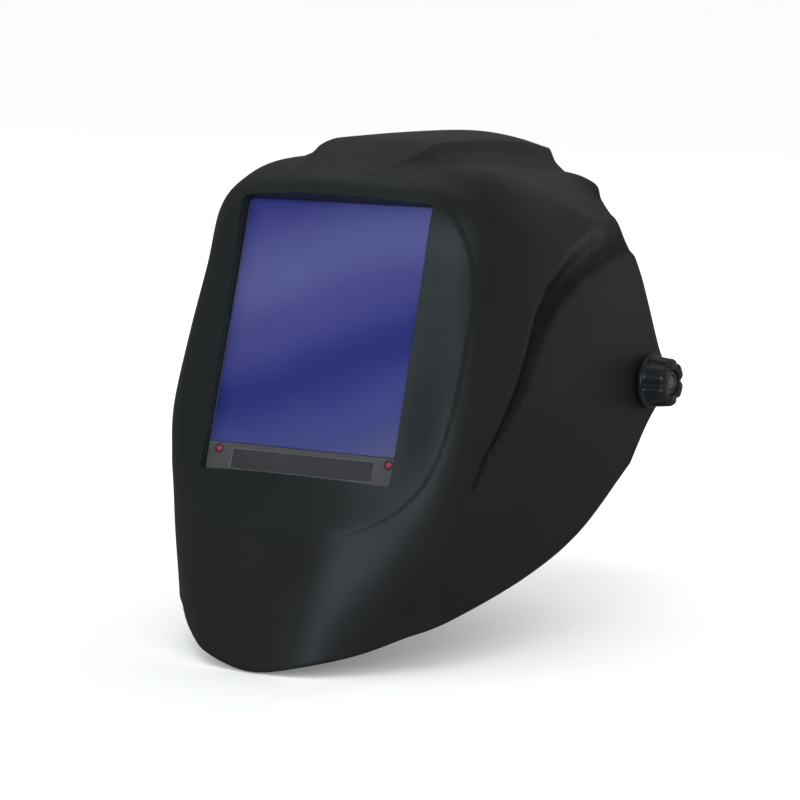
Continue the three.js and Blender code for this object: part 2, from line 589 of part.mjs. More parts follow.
function pinion() {
  const n = PINION_TEETH;
  const s = new THREE.Shape();
  for (let i = 0; i < n; i += 1) {
    const a = Math.PI / 2 + (i / n) * 2 * Math.PI;
    for (const [da, r] of [[-0.18, 4.9], [-0.07, 7.1], [0.07, 7.1], [0.18, 4.9]]) {
      const p = [r * Math.cos(a + da), r * Math.sin(a + da)];
      if (i === 0 && da === -0.18) s.moveTo(...p);
      else s.lineTo(...p);
    }
  }
  const gear = extrude(s, 2.2).rotateX(Math.PI / 2).translate(0, NAPE_Y + 3.2, 0);
  return inNape(unite([gear, rod("y", NAPE_Y - 0.8, NAPE_Y + 11, 3.8, 0, 0, 20)]));
}
add("ratchet_pinion", pinion(), 0x55585e, 0.5);

function ratchetKnob() {
  const outline = new THREE.Shape(ringPoints((a) => 16.4 + 0.9 * Math.cos(12 * a), 72)
    .map(([x, z]) => new THREE.Vector2(x, z)));
  const grip = extrude(outline, 11).rotateX(Math.PI / 2).translate(0, NAPE_Y + 19.2, 0);
  return inNape(subtract(grip, [
    rod("y", NAPE_Y + 7, NAPE_Y + 11.4, 4.1, 0, 0, 20),
    rod("y", NAPE_Y + 17, NAPE_Y + 21, 9, 0, 0, 24, 12),
  ]));
}
add("ratchet_knob", ratchetKnob(), 0x2c2f33, 0.5);

function housingBase() {
  return inNape(unite([
    box(-35, 35, NAPE_Y - 5.7, NAPE_Y - 2.9, -16, 16),
    box(-35, 35, NAPE_Y - 4, NAPE_Y + 4, 12.2, 16),
    box(-35, 35, NAPE_Y - 4, NAPE_Y + 4, -16, -12.2),
  ]));
}
add("housing_base", housingBase(), 0x2a2d31, 0.6);
add("housing_cover", inNape(subtract(
  extrude(roundedRect(72, 34, 9), 3.4).rotateX(Math.PI / 2).translate(0, NAPE_Y + 7.7, 0),
  [rod("y", NAPE_Y + 3, NAPE_Y + 9, 4.2, 0, 0, 20)],
)), 0x2a2d31, 0.55);
add("rear_pad", inNape(strap([[-38, NAPE_Y - 12.5], [-20, NAPE_Y - 9.5], [0, NAPE_Y - 8.8], [20, NAPE_Y - 9.5],
  [38, NAPE_Y - 12.5]], 5, 34).translate(0, 0, -17)), 0x2f3338, 0.95);

const group = new THREE.Group();
group.name = "welding_helmet";
parts.forEach((p) => group.add(p));
export default group;
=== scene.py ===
# Auto-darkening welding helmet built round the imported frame. Metres, +Z up, the visor looks along -Y.
import math
import bpy
import numpy as np
from mathutils import Matrix, Vector


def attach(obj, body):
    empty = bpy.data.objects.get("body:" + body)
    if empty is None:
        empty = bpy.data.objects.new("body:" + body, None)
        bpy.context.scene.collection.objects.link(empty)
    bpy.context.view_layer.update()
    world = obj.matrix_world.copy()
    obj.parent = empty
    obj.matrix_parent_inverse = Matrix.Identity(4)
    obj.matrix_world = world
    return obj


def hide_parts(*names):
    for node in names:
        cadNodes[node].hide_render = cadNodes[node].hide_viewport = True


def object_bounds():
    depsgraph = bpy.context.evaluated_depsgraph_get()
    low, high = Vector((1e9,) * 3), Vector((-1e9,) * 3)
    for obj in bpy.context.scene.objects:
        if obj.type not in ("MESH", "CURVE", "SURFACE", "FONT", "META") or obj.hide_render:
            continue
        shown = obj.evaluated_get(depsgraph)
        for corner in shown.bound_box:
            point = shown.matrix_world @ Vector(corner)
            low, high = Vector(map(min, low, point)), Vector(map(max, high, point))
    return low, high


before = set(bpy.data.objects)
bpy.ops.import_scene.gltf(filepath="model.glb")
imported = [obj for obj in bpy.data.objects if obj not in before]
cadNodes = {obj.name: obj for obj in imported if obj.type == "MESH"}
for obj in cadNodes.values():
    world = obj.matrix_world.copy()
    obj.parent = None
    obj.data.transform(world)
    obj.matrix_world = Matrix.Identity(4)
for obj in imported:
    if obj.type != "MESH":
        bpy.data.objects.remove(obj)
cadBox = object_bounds()
scene = bpy.context.scene
mm = 0.001
print("frame loaded,", len(cadNodes), "cad nodes")

cameraLook = {"place": (0.9282, -1.6208, 0.2661), "aim": (-0.0366, -0.0152, -0.0206), "lens": 149.2}
stageLook = {
    "floorColour": (0.93, 0.93, 0.93, 1),
    "floorSize": 40,
    "skyLight": 1.08,
    "skyInGloss": 0.13,
    "backdropInGloss": 0.21,      # the far side of the studio is lit brighter
    "floorInGloss": (0.10, 0.10, 0.10, 1),
    "farFloorInGloss": (0.40, 0.40, 0.40, 1),
}
softboxes = [  # place, aim, width, height, watts, tint
    {"name": "keySoftbox", "place": (0.85, -2.4, 0.62), "aim": (0, -0.15, 0), "size": (1.3, 0.9), "power": 18,
     "tint": (0.70, 0.87, 1.0)},
    {"name": "rearFill", "place": (0.3, 2.4, 0.9), "aim": (0, 0, 0), "size": (1.6, 1.2), "power": 30,
     "tint": (1.0, 1.0, 1.0), "glossy": False},
    {"name": "topSoftbox", "place": (-0.9, 0.2, 2.3), "aim": (0, -0.1, 0), "size": (1.8, 1.6), "power": 6,
     "tint": (0.93, 1.0, 0.94)},
]


def look(ob, aim):
    ob.rotation_euler = (Vector(aim) - ob.location).to_track_quat("-Z", "Y").to_euler()


def putCamera(c):
    cam = bpy.data.objects.new("camera", bpy.data.cameras.new("camera"))
    scene.collection.objects.link(cam)
    cam.location = c["place"]
    look(cam, c["aim"])
    cam.data.lens = c["lens"]
    cam.data.sensor_width = 36
    cam.data.clip_end = 100
    scene.camera = cam


def putLights():
    for box in softboxes:
        lamp = bpy.data.lights.new(box["name"], "AREA")
        lamp.shape = "RECTANGLE"
        lamp.size, lamp.size_y = box["size"]
        lamp.energy = box["power"]
        lamp.color = box["tint"]
        ob = bpy.data.objects.new(box["name"], lamp)
        scene.collection.objects.link(ob)
        ob.location = box["place"]
        look(ob, box["aim"])
        ob.visible_glossy = box.get("glossy", True)


putCamera(cameraLook)
putLights()
scene.view_settings.view_transform = "Standard"


def put(tree, kind, settings=None, wires=None):
    n = tree.nodes.new(kind)
    for key, value in (settings or {}).items():
        setattr(n, key, value)
    for key, value in (wires or {}).items():
        if isinstance(value, bpy.types.NodeSocket):
            tree.links.new(value, n.inputs[key])
        else:
            n.inputs[key].default_value = value
    return n


def sums(tree, operation, a, b=0.0, c=0.0):
    return put(tree, "ShaderNodeMath", {"operation": operation}, {0: a, 1: b, 2: c}).outputs[0]


def span(tree, value, fromLow, fromHigh, low=0.0, high=1.0):
    wires = {"Value": value, "From Min": fromLow, "From Max": fromHigh, "To Min": low, "To Max": high}
    return put(tree, "ShaderNodeMapRange", {"clamp": True}, wires).outputs["Result"]


def blendColour(tree, factor, a, b, way="MIX"):
    n = put(tree, "ShaderNodeMix", {"data_type": "RGBA", "blend_type": way})
    for key, value in ((0, factor), (6, a), (7, b)):
        if isinstance(value, bpy.types.NodeSocket):
            tree.links.new(value, n.inputs[key])
        else:
            n.inputs[key].default_value = value
    return n.outputs[2]


def effect(name, ins, outs):
    tree = bpy.data.node_groups.new(name, "ShaderNodeTree")
    for label, value in ins.items():
        s = tree.interface.new_socket(name=label, in_out="INPUT", socket_type="NodeSocketFloat")
        s.default_value = value
    for label in outs:
        tree.interface.new_socket(name=label, in_out="OUTPUT", socket_type="NodeSocketFloat")
    return tree, tree.nodes.new("NodeGroupInput").outputs, tree.nodes.new("NodeGroupOutput").inputs


def noise(tree, at, scale, detail=2.0, rough=0.5):
    wires = {"Vector": at, "Scale": scale, "Detail": detail, "Roughness": rough}
    return put(tree, "ShaderNodeTexNoise", None, wires).outputs[0]


# Pebbled skin of a moulding: fine pits over a slow cloud that shifts its tone and gloss.
def makeMouldGrain():
    tree, given, out = effect("mouldGrain", {"Scale": 900, "Cloud": 14}, ["Height", "Tone", "Gloss"])
    at = put(tree, "ShaderNodeTexCoord").outputs["Object"]
    cells = {"Vector": at, "Scale": given["Scale"]}
    pits = put(tree, "ShaderNodeTexVoronoi", {"feature": "SMOOTH_F1"}, cells)
    fine = noise(tree, at, given["Scale"], 3.0, 0.6)
    cloud = noise(tree, at, given["Cloud"], 3.0, 0.55)
    tree.links.new(sums(tree, "MULTIPLY_ADD", pits.outputs["Distance"], 0.6, fine), out["Height"])
    tree.links.new(span(tree, cloud, 0.3, 0.7), out["Tone"])
    slow = span(tree, cloud, 0.35, 0.65, 0.0, 0.65)
    tree.links.new(sums(tree, "MULTIPLY_ADD", fine, 0.35, slow), out["Gloss"])
    return tree


# Rubbed edges, found where a rounded normal leaves the flat one, broken up by noise.
def makeEdgeWear():
    tree, given, out = effect("edgeWear", {"Width": 0.0012, "Amount": 0.5, "Scale": 160}, ["Mask"])
    at = put(tree, "ShaderNodeTexCoord").outputs["Object"]
    soft = put(tree, "ShaderNodeBevel", {"samples": 4}, {"Radius": given["Width"]}).outputs[0]
    hard = put(tree, "ShaderNodeNewGeometry").outputs["Normal"]
    dot = put(tree, "ShaderNodeVectorMath", {"operation": "DOT_PRODUCT"}, {0: soft, 1: hard}).outputs["Value"]
    edge = span(tree, dot, 0.995, 0.9)
    patchy = span(tree, noise(tree, at, given["Scale"], 4.0, 0.65), 0.42, 0.62)
    tree.links.new(sums(tree, "MULTIPLY", sums(tree, "MULTIPLY", edge, patchy), given["Amount"]), out["Mask"])
    return tree


# Thin grey dust that settles on faces turned up.
def makeDustFilm():
    tree, given, out = effect("dustFilm", {"Amount": 0.3, "Scale": 60}, ["Mask"])
    coords = put(tree, "ShaderNodeTexCoord").outputs
    up = put(tree, "ShaderNodeSeparateXYZ", None, {0: coords["Normal"]}).outputs["Z"]
    settled = span(tree, up, 0.1, 0.95)
    cloud = span(tree, noise(tree, coords["Object"], given["Scale"], 5.0, 0.7), 0.4, 0.75)
    film = sums(tree, "MULTIPLY", settled, cloud)
    tree.links.new(sums(tree, "MULTIPLY", film, given["Amount"]), out["Mask"])
    return tree


# Hairline scratches: thin level lines of stretched noise.
def makeHairlines():
    tree, given, out = effect("hairlines", {"Scale": 30, "Amount": 0.5, "Turn": 0.4}, ["Mask"])
    at = put(tree, "ShaderNodeTexCoord").outputs["Object"]
    turned = put(tree, "ShaderNodeVectorRotate", {"rotation_type": "Y_AXIS"},
                 {"Vector": at, "Angle": given["Turn"]})
    pulled = put(tree, "ShaderNodeMapping", {"vector_type": "POINT"},
                 {"Vector": turned.outputs[0], "Scale": (26.0, 4.0, 1.0)}).outputs[0]
    lines = noise(tree, pulled, given["Scale"], 2.0, 0.4)
    off = sums(tree, "ABSOLUTE", sums(tree, "SUBTRACT", lines, 0.5))
    thin = span(tree, off, 0.004, 0.0)
    gaps = span(tree, noise(tree, at, 45.0, 2.0), 0.5, 0.62)
    tree.links.new(sums(tree, "MULTIPLY", sums(tree, "MULTIPLY", thin, gaps), given["Amount"]), out["Mask"])
    return tree


# Brushed knit over foam: loops, a coarser pill and a colour drift.
def makeKnitFace():
    tree, given, out = effect("knitFace", {"Loops": 1100, "Drift": 30}, ["Height", "Tone"])
    at = put(tree, "ShaderNodeTexCoord").outputs["Object"]
    loops = put(tree, "ShaderNodeTexVoronoi", {"feature": "F1"}, {"Vector": at, "Scale": given["Loops"]})
    pill = noise(tree, at, 330.0, 4.0, 0.7)
    drift = span(tree, noise(tree, at, given["Drift"], 3.0), 0.3, 0.7)
    tree.links.new(sums(tree, "MULTIPLY_ADD", loops.outputs["Distance"], -1.0, pill), out["Height"])
    raised = span(tree, loops.outputs["Distance"], 0.9, 0.1, 0.4, 1.0)
    tree.links.new(sums(tree, "MULTIPLY", drift, raised), out["Tone"])
    return tree


mouldGrain = makeMouldGrain()
edgeWear = makeEdgeWear()
dustFilm = makeDustFilm()
hairlines = makeHairlines()
knitFace = makeKnitFace()


def place(tree, group, **values):
    n = tree.nodes.new("ShaderNodeGroup")
    n.node_tree = group
    for key, value in values.items():
        n.inputs[key].default_value = value
    return n.outputs


def newMaterial(name):
    mat = bpy.data.materials.new(name)
    mat.use_nodes = True
    tree = mat.node_tree
    shader = tree.nodes["Principled BSDF"]
    return mat, tree, shader


def grey(v, blue=0.0):
    return (v, v * (1 + 0.5 * blue), v * (1 + blue), 1)


mouldings = {  # colour, lighter tone, roughness range, grain size and depth, rubbed edges, dust
    "shellBlack": {"base": (0.0075, 0.0081, 0.0078, 1), "tone": (0.010, 0.0108, 0.0104, 1),
                   "rough": (0.42, 0.52), "grain": 1500, "depth": 0.000016, "wear": 0.16, "dust": 0.02,
                   "specular": 0.42, "coat": 0.0},
    "headgearBlack": {"base": grey(0.024, 0.1), "tone": grey(0.032, 0.1), "rough": (0.42, 0.58), "grain": 900,
                      "depth": 0.00004, "wear": 0.35, "dust": 0.1, "specular": 0.5, "coat": 0.0},
    "knobBlack": {"base": grey(0.0080, 0.25), "tone": grey(0.0105, 0.3), "rough": (0.2, 0.3), "grain": 1300,
                  "depth": 0.00001, "wear": 0.25, "dust": 0.02, "specular": 0.55, "coat": 0.0},
    "caseGrey": {"base": (0.130, 0.106, 0.096, 1), "tone": (0.146, 0.120, 0.109, 1), "rough": (0.4, 0.55),
                 "grain": 1300, "depth": 0.000016, "wear": 0.2, "dust": 0.0, "specular": 0.4, "coat": 0.0},
    "caseBlack": {"base": grey(0.024, 0.12), "tone": grey(0.032, 0.12), "rough": (0.4, 0.56), "grain": 1000,
                  "depth": 0.00004, "wear": 0.3, "dust": 0.08, "specular": 0.5, "coat": 0.0},
    "dialGrey": {"base": grey(0.095, 0.08), "tone": grey(0.12, 0.08), "rough": (0.38, 0.5), "grain": 1100,
                 "depth": 0.00003, "wear": 0.3, "dust": 0.03, "specular": 0.5, "coat": 0.0},
    "latchGrey": {"base": grey(0.15, 0.05), "tone": grey(0.18, 0.05), "rough": (0.4, 0.52), "grain": 1000,
                  "depth": 0.00003, "wear": 0.3, "dust": 0.03, "specular": 0.5, "coat": 0.0},
    "switchRed": {"base": (0.27, 0.012, 0.012, 1), "tone": (0.36, 0.02, 0.018, 1), "rough": (0.35, 0.48),
                  "grain": 1300, "depth": 0.00003, "wear": 0.2, "dust": 0.02, "specular": 0.5, "coat": 0.0},
    "boardGreen": {"base": (0.008, 0.075, 0.025, 1), "tone": (0.012, 0.11, 0.035, 1), "rough": (0.3, 0.45),
                   "grain": 700, "depth": 0.00002, "wear": 0.1, "dust": 0.0, "specular": 0.5, "coat": 0.4},
    "rubberBlack": {"base": grey(0.010), "tone": grey(0.016), "rough": (0.75, 0.9), "grain": 1600,
                    "depth": 0.00005, "wear": 0.1, "dust": 0.15, "specular": 0.3, "coat": 0.0},
}


# Painted light and shade in attributes on the visor's skin: face plate a touch paler and bluer as painted
# light from the front, temple flute darker as painted shade in its channel.
paintedLightAndShade = {"plate": (0.0072, 0.0104, 0.0104, 1), "flute": (0.0034, 0.0037, 0.0034, 1)}


def moulded(name, m, softEdge=0.0004):
    mat, tree, shader = newMaterial(name)
    grain = place(tree, mouldGrain, Scale=m["grain"], Cloud=14)
    worn = place(tree, edgeWear, Amount=m["wear"])["Mask"]
    dust = place(tree, dustFilm, Amount=m["dust"])["Mask"]
    rubbed = tuple(min(1.0, c * 3.2 + 0.02) for c in m["base"][:3]) + (1,)
    colour = blendColour(tree, grain["Tone"], m["base"], m["tone"])
    if name == "shellBlack":
        # Painted light on the face plate and painted shade in the temple flute, laid into the colour.
        for paintedArea, tint in paintedLightAndShade.items():
            paintedShadingMask = put(tree, "ShaderNodeAttribute", {"attribute_name": paintedArea + "Area"}).outputs["Fac"]
            colour = blendColour(tree, paintedShadingMask, colour, tint)
    colour = blendColour(tree, worn, colour, rubbed)
    colour = blendColour(tree, dust, colour, (0.30, 0.29, 0.27, 1))
    rough = span(tree, grain["Gloss"], 0.0, 1.0, *m["rough"])
    rough = sums(tree, "MAXIMUM", rough, sums(tree, "MULTIPLY", dust, 2.5))
    rounded = put(tree, "ShaderNodeBevel", {"samples": 4}, {"Radius": softEdge}).outputs[0]
    bump = put(tree, "ShaderNodeBump", None,
               {"Strength": 1.0, "Distance": m["depth"], "Height": grain["Height"], "Normal": rounded})
    tree.links.new(colour, shader.inputs["Base Color"])
    tree.links.new(rough, shader.inputs["Roughness"])
    tree.links.new(bump.outputs[0], shader.inputs["Normal"])
    shader.inputs["Specular IOR Level"].default_value = m["specular"]
    shader.inputs["Coat Weight"].default_value = m["coat"]
    return mat


finishes = {name: moulded(name, m) for name, m in mouldings.items()}
print("moulded finishes made")


metals = {
    "boltSteel": {"base": (0.24, 0.25, 0.26, 1), "tone": (0.34, 0.35, 0.36, 1), "rough": (0.26, 0.42)},
    "insertBrass": {"base": (0.20, 0.165, 0.115, 1), "tone": (0.28, 0.23, 0.16, 1), "rough": (0.28, 0.42)},
    "batterySteel": {"base": (0.62, 0.62, 0.62, 1), "tone": (0.78, 0.78, 0.78, 1), "rough": (0.18, 0.3)},
}


def metal(name, m):
    mat, tree, shader = newMaterial(name)
    grain = place(tree, mouldGrain, Scale=500, Cloud=70)
    scratch = place(tree, hairlines, Scale=60, Amount=0.6, Turn=0.7)["Mask"]
    dull = place(tree, edgeWear, Amount=0.5, Width=0.0006, Scale=400)["Mask"]
    colour = blendColour(tree, grain["Tone"], m["base"], m["tone"])
    colour = blendColour(tree, sums(tree, "MULTIPLY", dull, 0.5), colour, grey(0.9))
    rough = span(tree, grain["Gloss"], 0.0, 1.0, *m["rough"])
    rough = sums(tree, "MULTIPLY_ADD", scratch, 0.25, rough)
    bump = put(tree, "ShaderNodeBump", None, {"Strength": 0.6, "Distance": 0.00002, "Height": scratch})
    tree.links.new(colour, shader.inputs["Base Color"])
    tree.links.new(rough, shader.inputs["Roughness"])
    tree.links.new(bump.outputs[0], shader.inputs["Normal"])
    shader.inputs["Metallic"].default_value = 1.0
    return mat


finishes.update({name: metal(name, m) for name, m in metals.items()})


# Clear polycarbonate: lamps shine through it, the eye sees its gloss and faint hairlines.
clearLook = {"tint": (0.93, 0.95, 0.97, 1), "rough": 0.03, "index": 1.45, "hairs": 0.35}


def clearPlastic():
    mat, tree, shader = newMaterial("clearPane")
    hairs = place(tree, hairlines, Scale=36, Amount=clearLook["hairs"], Turn=0.5)["Mask"]
    rough = sums(tree, "MULTIPLY_ADD", hairs, 0.3, clearLook["rough"])
    tree.links.new(rough, shader.inputs["Roughness"])
    shader.inputs["Base Color"].default_value = clearLook["tint"]
    shader.inputs["IOR"].default_value = clearLook["index"]
    shader.inputs["Transmission Weight"].default_value = 1.0
    lamp = put(tree, "ShaderNodeLightPath").outputs["Is Shadow Ray"]
    through = put(tree, "ShaderNodeBsdfTransparent", None, {"Color": (0.93, 0.94, 0.95, 1)})
    mix = put(tree, "ShaderNodeMixShader", None, {0: lamp, 1: shader.outputs[0], 2: through.outputs[0]})
    tree.links.new(mix.outputs[0], tree.nodes["Material Output"].inputs["Surface"])
    return mat


finishes["clearPane"] = clearPlastic()

# Liquid crystal pane: violet colour with a painted reflection in slanting bands, pale high up and deep low
# down.
lcdLook = {"paintedReflectionBands": [(0.0, (0.070, 0.062, 0.345)), (0.29, (0.192, 0.176, 0.460)),
                     (0.46, (0.112, 0.098, 0.370)), (0.65, (0.029, 0.034, 0.275)),
                     (0.84, (0.092, 0.094, 0.350)), (1.0, (0.150, 0.150, 0.310))],
           "slope": (1.955, -6.072), "start": 0.748, "drift": 0.16, "rough": 0.07}


def violetPane():
    mat, tree, shader = newMaterial("lcdViolet")
    at = put(tree, "ShaderNodeTexCoord").outputs["Object"]
    parts = put(tree, "ShaderNodeSeparateXYZ", None, {0: at}).outputs
    cloud = sums(tree, "SUBTRACT", noise(tree, at, 16.0, 2.0), 0.5)
    # The slanting bands are a painted reflection, laid into the pane's colour by their place on the glass.
    slant = sums(tree, "MULTIPLY_ADD", parts["Z"], lcdLook["slope"][1], lcdLook["start"])
    slant = sums(tree, "MULTIPLY_ADD", parts["X"], lcdLook["slope"][0], slant)
    level = sums(tree, "MULTIPLY_ADD", cloud, lcdLook["drift"], slant)
    ramp = put(tree, "ShaderNodeValToRGB", None, {0: level})
    ramp.color_ramp.interpolation = "EASE"
    stops = ramp.color_ramp.elements
    for index, (spot, colour) in enumerate(lcdLook["paintedReflectionBands"]):
        stop = stops[index] if index < 2 else stops.new(spot)
        stop.position = spot
        stop.color = (*colour, 1)
    tree.links.new(ramp.outputs["Color"], shader.inputs["Base Color"])
    hairs = place(tree, hairlines, Scale=30, Amount=0.3, Turn=-0.3)["Mask"]
    tree.links.new(sums(tree, "MULTIPLY_ADD", hairs, 0.2, lcdLook["rough"]), shader.inputs["Roughness"])
    shader.inputs["Specular IOR Level"].default_value = 0.6
    shader.inputs["Coat Weight"].default_value = 0.5
    shader.inputs["Coat Roughness"].default_value = 0.04
    return mat


finishes["lcdViolet"] = violetPane()

solarLook = {"cell": (0.066, 0.053, 0.055, 1), "line": (0.080, 0.072, 0.075, 1), "pitch": 0.022,
             "lineWidth": 0.0004}


def solarCells():
    mat, tree, shader = newMaterial("solarDark")
    at = put(tree, "ShaderNodeTexCoord").outputs["Object"]
    x = put(tree, "ShaderNodeSeparateXYZ", None, {0: at}).outputs["X"]
    fold = sums(tree, "PINGPONG", sums(tree, "ADD", x, solarLook["pitch"] / 2), solarLook["pitch"] / 2)
    bus = span(tree, fold, solarLook["lineWidth"], solarLook["lineWidth"] * 0.5)
    finger = span(tree, sums(tree, "PINGPONG", x, 0.0006), 0.00012, 0.00004, 0.0, 0.35)
    cloud = noise(tree, at, 40.0, 2.0)
    cell = blendColour(tree, cloud, solarLook["cell"], tuple(c * 1.05 for c in solarLook["cell"][:3]) + (1,))
    colour = blendColour(tree, sums(tree, "MAXIMUM", bus, finger), cell, solarLook["line"])
    tree.links.new(colour, shader.inputs["Base Color"])
    tree.links.new(span(tree, cloud, 0.3, 0.7, 0.18, 0.3), shader.inputs["Roughness"])
    shader.inputs["Coat Weight"].default_value = 0.25
    return mat


finishes["solarDark"] = solarCells()


sensorGlow = {"deep": (0.78, 0.03, 0.09, 1), "pale": (0.92, 0.06, 0.15, 1), "rough": (0.08, 0.16)}


def sensorRed():
    mat, tree, shader = newMaterial("sensorRed")
    at = put(tree, "ShaderNodeTexCoord").outputs["Object"]
    fac = span(tree, noise(tree, at, 900.0, 2.0), 0.3, 0.7)
    colour = blendColour(tree, fac, sensorGlow["deep"], sensorGlow["pale"])
    tree.links.new(colour, shader.inputs["Base Color"])
    tree.links.new(span(tree, fac, 0.0, 1.0, *sensorGlow["rough"]), shader.inputs["Roughness"])
    shader.inputs["Coat Weight"].default_value = 1.0
    return mat


finishes["sensorRed"] = sensorRed()

extraMouldings = {
    "bezelShine": {"base": grey(0.030, 0.1), "tone": grey(0.045, 0.1), "rough": (0.16, 0.26), "grain": 1500,
                   "depth": 0.000008, "wear": 0.3, "dust": 0.0, "specular": 0.6, "coat": 0.3},
    "solarTrim": {"base": grey(0.28), "tone": grey(0.34), "rough": (0.25, 0.35), "grain": 1500,
                  "depth": 0.000008, "wear": 0.1, "dust": 0.0, "specular": 0.5, "coat": 0.0},
    "markPale": {"base": grey(0.62), "tone": grey(0.70), "rough": (0.45, 0.6), "grain": 1300,
                 "depth": 0.00002, "wear": 0.0, "dust": 0.02, "specular": 0.4, "coat": 0.0},
}
finishes.update({name: moulded(name, m) for name, m in extraMouldings.items()})

padLook = {"base": (0.028, 0.031, 0.035, 1), "tone": (0.062, 0.067, 0.074, 1), "loops": 900, "depth": 0.00022}


def padKnit():
    mat, tree, shader = newMaterial("padKnit")
    knit = place(tree, knitFace, Loops=padLook["loops"])
    dust = place(tree, dustFilm, Amount=0.12, Scale=120)["Mask"]
    colour = blendColour(tree, knit["Tone"], padLook["base"], padLook["tone"])
    colour = blendColour(tree, dust, colour, (0.3, 0.29, 0.27, 1))
    bump = put(tree, "ShaderNodeBump", None,
               {"Strength": 0.9, "Distance": padLook["depth"], "Height": knit["Height"]})
    tree.links.new(colour, shader.inputs["Base Color"])
    tree.links.new(span(tree, knit["Height"], -0.6, 0.6, 0.82, 0.96), shader.inputs["Roughness"])
    tree.links.new(bump.outputs[0], shader.inputs["Normal"])
    shader.inputs["Sheen Weight"].default_value = 0.35
    shader.inputs["Sheen Roughness"].default_value = 0.5
    return mat


finishes["padKnit"] = padKnit()


def paleFloor():
    mat, tree, shader = newMaterial("paleFloor")
    at = put(tree, "ShaderNodeTexCoord").outputs["Object"]
    fac = span(tree, noise(tree, at, 3.0, 4.0), 0.3, 0.7)
    c = stageLook["floorColour"]
    colour = blendColour(tree, fac, c, tuple(v * 0.99 for v in c[:3]) + (1,))
    y = put(tree, "ShaderNodeSeparateXYZ", None, {0: at}).outputs["Y"]
    far = span(tree, y, 0.8, 2.0)
    gloss = blendColour(tree, far, stageLook["floorInGloss"], stageLook["farFloorInGloss"])
    glossy = put(tree, "ShaderNodeLightPath").outputs["Is Glossy Ray"]
    colour = blendColour(tree, glossy, colour, gloss)
    tree.links.new(colour, shader.inputs["Base Color"])
    shader.inputs["Roughness"].default_value = 0.9
    shader.inputs["Specular IOR Level"].default_value = 0.1
    return mat


def putStage():
    half = stageLook["floorSize"] / 2
    low = cadBox[0].z - 0.0015
    mesh = bpy.data.meshes.new("studioFloor")
    corners = [(-half, -half, low), (half, -half, low), (half, half, low), (-half, half, low)]
    mesh.from_pydata(corners, [], [(0, 1, 2, 3)])
    mesh.materials.append(paleFloor())
    floor = bpy.data.objects.new("studioFloor", mesh)
    scene.collection.objects.link(floor)
    world = bpy.data.worlds.new("studioSky")
    scene.world = world
    world.use_nodes = True
    tree = world.node_tree
    glossy = put(tree, "ShaderNodeLightPath").outputs["Is Glossy Ray"]
    way = put(tree, "ShaderNodeTexCoord").outputs["Generated"]
    y = put(tree, "ShaderNodeSeparateXYZ", None, {0: way}).outputs["Y"]
    inGloss = span(tree, y, 0.5, 0.95, stageLook["skyInGloss"], stageLook["backdropInGloss"])
    level = span(tree, glossy, 0.0, 1.0, stageLook["skyLight"], inGloss)
    sky = tree.nodes["Background"]
    sky.inputs["Color"].default_value = (1, 1, 1, 1)
    tree.links.new(level, sky.inputs["Strength"])


putStage()
print("materials and stage made")


# Mesh helpers take millimetres and give metres.
def newPiece(name, verts, faces, material, body, slot, sharp=35, replaced=()):
    mesh = bpy.data.meshes.new(name)
    mesh.from_pydata((np.asarray(verts, float) * mm).tolist(), [], [tuple(int(i) for i in f) for f in faces])
    mesh.update()
    if material:
        mesh.materials.append(material)
    mesh.shade_smooth()
    if sharp:
        mesh.set_sharp_from_angle(angle=math.radians(sharp))
    ob = bpy.data.objects.new(name, mesh)
    scene.collection.objects.link(ob)
    if body:
        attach(ob, body)
    if replaced:
        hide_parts(*replaced)
    return ob


def bevel(ob, width, segments=2, angle=30):
    m = ob.modifiers.new("softEdges", "BEVEL")
    m.width = width * mm
    m.segments = segments
    m.limit_method = "ANGLE"
    m.angle_limit = math.radians(angle)
    m.harden_normals = False
    w = ob.modifiers.new("evenShade", "WEIGHTED_NORMAL")
    w.keep_sharp = False
    w.weight = 60


weldReach = 0.01 * mm


def bake(ob):
    ready = bpy.data.meshes.new_from_object(ob.evaluated_get(bpy.context.evaluated_depsgraph_get()))
    ob.modifiers.clear()
    old = ob.data
    ob.data = ready
    bpy.data.meshes.remove(old)
    return ob


def carve(ob, cutter, operation="DIFFERENCE"):
    m = ob.modifiers.new("carve", "BOOLEAN")
    m.operation = operation
    m.solver = "MANIFOLD"
    m.object = cutter
    bpy.context.view_layer.update()
    bake(ob)
    bpy.data.objects.remove(cutter)


def coordsOf(mesh):
    at = np.empty(len(mesh.vertices) * 3)
    mesh.vertices.foreach_get("co", at)
    return at.reshape(-1, 3)


def loose(name, verts, faces):
    return newPiece(name, verts, faces, None, None, None, 0)


# Loops of equal length joined by quads.
def stackLoops(loops, closeEnds=True):
    n = len(loops[0])
    verts = [p for l in loops for p in l]
    faces = []
    for k in range(len(loops) - 1):
        for i in range(n):
            j = (i + 1) % n
            faces.append((k * n + i, k * n + j, (k + 1) * n + j, (k + 1) * n + i))
    if closeEnds:
        faces.append(tuple(reversed(range(n))))
        faces.append(tuple(range((len(loops) - 1) * n, len(loops) * n)))
    return verts, faces


